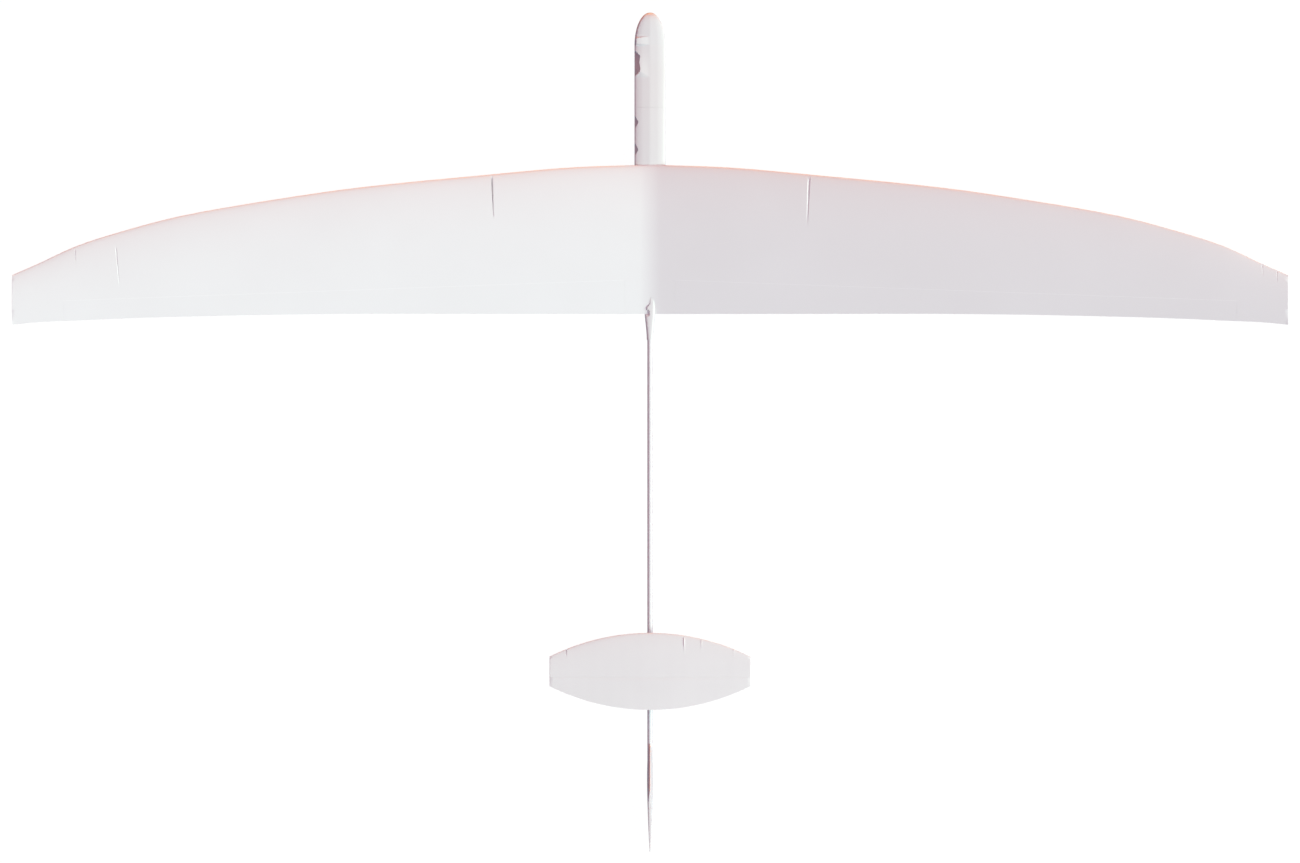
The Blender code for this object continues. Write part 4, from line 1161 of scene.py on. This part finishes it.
def horn(name, hinge, at, aft_start, skin, body, node):
    """A horn in a hinge frame: how far along the hinge, how far aft, and the height of the skin there."""
    origin, along, aft, up = hinge
    radius = HORN_TIP / 2
    middle, eye = aft_start + HORN_ROOT / 2, skin - HORN_DEPTH + radius
    arc = [pi * i / 8 for i in range(1, 8)]
    flat = [(aft_start, skin), (middle - radius, eye)]
    flat += [(middle - radius * cos(turn), eye - radius * sin(turn)) for turn in arc]
    flat += [(middle + radius, eye), (aft_start + HORN_ROOT, skin)]
    start = origin + along * (at - HORN_THICK / 2)
    outline = [start + aft * a + up * b for a, b in flat]
    piece = extrude_rings(name, outline, [(along * HORN_THICK, *AS_IS)])
    apply(piece, "BEVEL", width=0.00012, segments=2, angle_limit=radians(50))
    drill(piece, start + along * HORN_THICK / 2 + aft * middle + up * eye, 0.0006, HORN_THICK * 3, 16,
          along.to_track_quat("Z", "Y").to_euler())
    hand_over(piece, plate, "black_carbon_plate", body, node)


for word in ("left", "right"):
    hinge = flaperons[word][1]
    corner = [v.co - hinge[0] for v in frame["nodes"][f"{word}_flaperon_horn"].data.vertices]
    skin = max(c.dot(hinge[3]) for c in corner)
    at = sum(c.dot(hinge[1]) for c in corner) / len(corner)
    horn(f"{word}_flaperon_horn_plate", hinge, at, HORN_AFT, skin, f"{word}_flap", f"{word}_flaperon_horn")
cross, back, above = Vector((1, 0, 0)), Vector((0, 1, 0)), Vector((0, 0, 1))
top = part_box("elevator_horn")[1].z - STAB_Z
horn("elevator_horn_plate", (Vector((0, ELEVATOR_Y, STAB_Z)), cross, back, above), 0.0, ELEVATOR_HORN_AFT,
     top, "elevator_flap", "elevator_horn")

# %% [markdown]
# Each rod comes out of the pod's flank and ends beside its horn. It is a thin cylinder, and its last
# 5 mm carry a small keeper sleeve. The end is rounded, as a cut and filed wire is.

# %% Pushrods
ROD_RADIUS, END_ZONE = 0.0006, 0.0010
# Each step along the rod's end, and how the ring grows after it: sleeve, step down, rounded end.
ROD_END = ((0.00004, 1.55), (0.0034, 1.0), (0.00004, 1 / 1.55), (0.0014, 1.0), (0.00032, 0.6))
for word in ("left", "right"):
    corners = [v.co for v in frame["nodes"][f"{word}_pushrod"].data.vertices]
    front = [c for c in corners if c.y < min(k.y for k in corners) + END_ZONE]
    rear = [c for c in corners if c.y > max(k.y for k in corners) - END_ZONE]
    start, end = sum(front, Vector()) / len(front), sum(rear, Vector()) / len(rear)
    line = (end - start).normalized()
    across = line.cross(above).normalized()
    lift = across.cross(line)
    moves, at = [], 0.0
    for step, grow in (((end - start).length - sum(step for step, _ in ROD_END), 1.0), *ROD_END):
        at += step
        moves.append((line * step, (grow, grow, grow), start + line * at))
    ring = [start + across * a + lift * b for a, b in circle(ROD_RADIUS, 14)]
    rod = extrude_rings(f"{word}_rod", ring, moves)
    hand_over(rod, wire, "steel_wire", "airframe", f"{word}_pushrod")

# %% [markdown]
# Under the nose cone the radio gear lies on a carbon tray that sticks out of the pod. These are boxy
# things, so each starts as a cube at its size and place with bevelled edges. First the tray, with two slots
# for the battery's strap.

# %% Radio tray
SLOT_X, SLOT_HALF, SLOT_FROM, SLOT_TO = 0.0060, 0.0008, 0.010, 0.030
THROUGH = 0.01


def block(name, low, high, radius, segments):
    """A cube primitive at its size and place, its edges rounded by an edit-mode bevel."""
    low, high = Vector(low), Vector(high)
    bpy.ops.object.select_all(action="DESELECT")
    bpy.ops.mesh.primitive_cube_add(size=1, location=(low + high) / 2, scale=high - low)
    bpy.ops.object.transform_apply(location=True, rotation=True, scale=True)
    piece = bpy.context.object
    piece.name = piece.data.name = name
    edit(piece)
    bpy.ops.mesh.bevel(offset=radius, segments=segments, affect="EDGES")
    bpy.ops.object.mode_set(mode="OBJECT")
    return piece


low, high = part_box("radio_tray")
tray = block("radio_tray_plate", low, high, 0.0003, 2)
for x in (-SLOT_X, SLOT_X):
    carve(tray, block("slot", (x - SLOT_HALF, low.y + SLOT_FROM, low.z - THROUGH),
                      (x + SLOT_HALF, low.y + SLOT_TO, high.z + THROUGH), 0.0004, 3))
hand_over(tray, plate, "black_carbon_plate", "airframe", "radio_tray")

# %% [markdown]
# The battery is a pack of two flat cells, one on the other, in a shrink sleeve, with rounded edges and a
# shallow waist where the cells meet. The receiver is a two-part case with a seam round its middle and two
# rows of gilt pins at its rear. One pin is modelled, and two array modifiers repeat it.

# %% Battery and receiver
PIN, PIN_PITCH, PIN_LENGTH = 0.0002, 0.0025, 0.0012


def waist(piece, low, high, width, depth):
    """Press a shallow groove round a block at half its height: three cuts, then the middle one is shrunk."""
    middle, size = (low + high) / 2, high - low
    edit(piece)
    for level in (middle.z - width, middle.z, middle.z + width):
        bpy.ops.mesh.select_all(action="SELECT")
        bpy.ops.mesh.bisect(plane_co=(0, 0, level), plane_no=(0, 0, 1))
    bpy.ops.mesh.select_all(action="DESELECT")
    work = bmesh.from_edit_mesh(piece.data)
    for vertex in work.verts:
        vertex.select = abs(vertex.co.z - middle.z) < 0.00001
    work.select_flush(True)
    bmesh.update_edit_mesh(piece.data)
    bpy.ops.transform.resize(value=(1 - 2 * depth / size.x, 1 - 2 * depth / size.y, 1),
                             center_override=middle)
    bpy.ops.object.mode_set(mode="OBJECT")


low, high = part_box("battery_pack")
battery = block("battery_sleeve", low, high, 0.0016, 5)
waist(battery, low, high, 0.0008, 0.0004)
hand_over(battery, sleeve, "battery_wrap", "airframe", "battery_pack")

low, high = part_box("receiver")
case = block("receiver_case", low, high, 0.0007, 3)
waist(case, low, high, 0.00018, 0.00022)
hand_over(case, abs_case, "dark_plastic", "airframe", "receiver")
first = Vector((-2 * PIN_PITCH, high.y, low.z + 0.0024))
pins = block("receiver_pins", first - Vector((PIN, PIN, PIN)), first + Vector((PIN, PIN_LENGTH, PIN)),
             0.00005, 1)
for count, step in ((5, (PIN_PITCH, 0, 0)), (2, (0, 0, PIN_PITCH))):
    apply(pins, "ARRAY", count=count, use_relative_offset=False, use_constant_offset=True,
          constant_offset_displace=step)
hand_over(pins, brass, "dark_plastic", "airframe")

# %% [markdown]
# The two servos are alike, so one is modelled and copied with its own mesh. A servo is a nylon case with a
# seam, a lug at each end, a round boss over its output gear, and an arm with holes and a screw on top.

# %% Servos
LUG_REACH, CASE_TOP, LUG_LOW, LUG_HIGH = 0.0022, 0.0112, 0.0078, 0.0088
GEAR_AFT, ARM_DEPTH, ARM_THICK, SCREW_DEPTH = 0.0068, 0.0016, 0.0012, 0.0006
ARM_HOLES = (0.0046, 0.0068, 0.0090)
# Radius and height of the boss over the output gear.
BOSS = ((0.0034, 0.0110), (0.0034, 0.0122), (0.0032, 0.0124), (0.0016, 0.0124), (0.0016, 0.0129))

low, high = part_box("left_servo")
gear = Vector(((low.x + high.x) / 2, low.y + GEAR_AFT, 0))
case_low, case_high = low + Vector((0, LUG_REACH, 0)), Vector((high.x, high.y - LUG_REACH, low.z + CASE_TOP))
servo = block("left_servo_case", case_low, case_high, 0.0004, 2)
waist(servo, case_low, case_high, 0.00015, 0.00015)
lugs = block("lugs", (low.x, low.y, low.z + LUG_LOW), (high.x, high.y, low.z + LUG_HIGH), 0.0002, 2)
for y in (low.y + LUG_REACH / 2, high.y - LUG_REACH / 2):
    drill(lugs, (gear.x, y, low.z + 0.008), 0.0006, THROUGH, 20)

ring = [gear + Vector((x, y, low.z + BOSS[0][1])) for x, y in circle(BOSS[0][0], 28)]
boss = extrude_rings("boss", ring, [((0, 0, b[1] - a[1]), (b[0] / a[0], b[0] / a[0], 1), gear)
                                    for a, b in zip(BOSS, BOSS[1:])])
flat = [(-x, -y) for x, y in circle(0.0021, 12, -3)[:7]]
flat += [(ARM_HOLES[-1] + x, y) for x, y in circle(0.0011, 12, -3)[:7]]
outline = [gear + Vector((across, aft, high.z - ARM_DEPTH)) for aft, across in flat]
arm = extrude_rings("arm", outline, [((0, 0, ARM_THICK), *AS_IS)])
apply(arm, "BEVEL", width=0.00015, segments=2, angle_limit=radians(50))
for reach in ARM_HOLES:
    drill(arm, (gear.x, gear.y + reach, high.z - 0.001), 0.00045, THROUGH, 14)
ring = [gear + Vector((x, y, high.z - SCREW_DEPTH)) for x, y in circle(0.0011, 20)]
screw = extrude_rings("screw", ring, [((0, 0, 0.0004), *AS_IS), ((0, 0, 0.0002), (0.75, 0.75, 1), gear),
                                      ((0, 0, 0), (0.45, 0.45, 1), gear), ((0, 0, -0.0003), *AS_IS)])

bpy.ops.object.select_all(action="DESELECT")
for shell in (lugs, boss, arm, screw, servo):
    shell.select_set(True)
bpy.context.view_layer.objects.active = servo
bpy.ops.object.join()
other = duplicate(servo, "right_servo_case")
edit(other)
bpy.ops.transform.translate(value=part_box("right_servo")[0] - low)
bpy.ops.object.mode_set(mode="OBJECT")
hand_over(servo, nylon, "servo_plastic", "airframe", "left_servo")
hand_over(other, nylon, "servo_plastic", "airframe", "right_servo")

# %% [markdown]
# Last, the size: the finished glider's bounds are printed.

# %% Sizes and the end
low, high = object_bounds()
print("visual", [round(v * 1000, 2) for v in (*low, *high)])
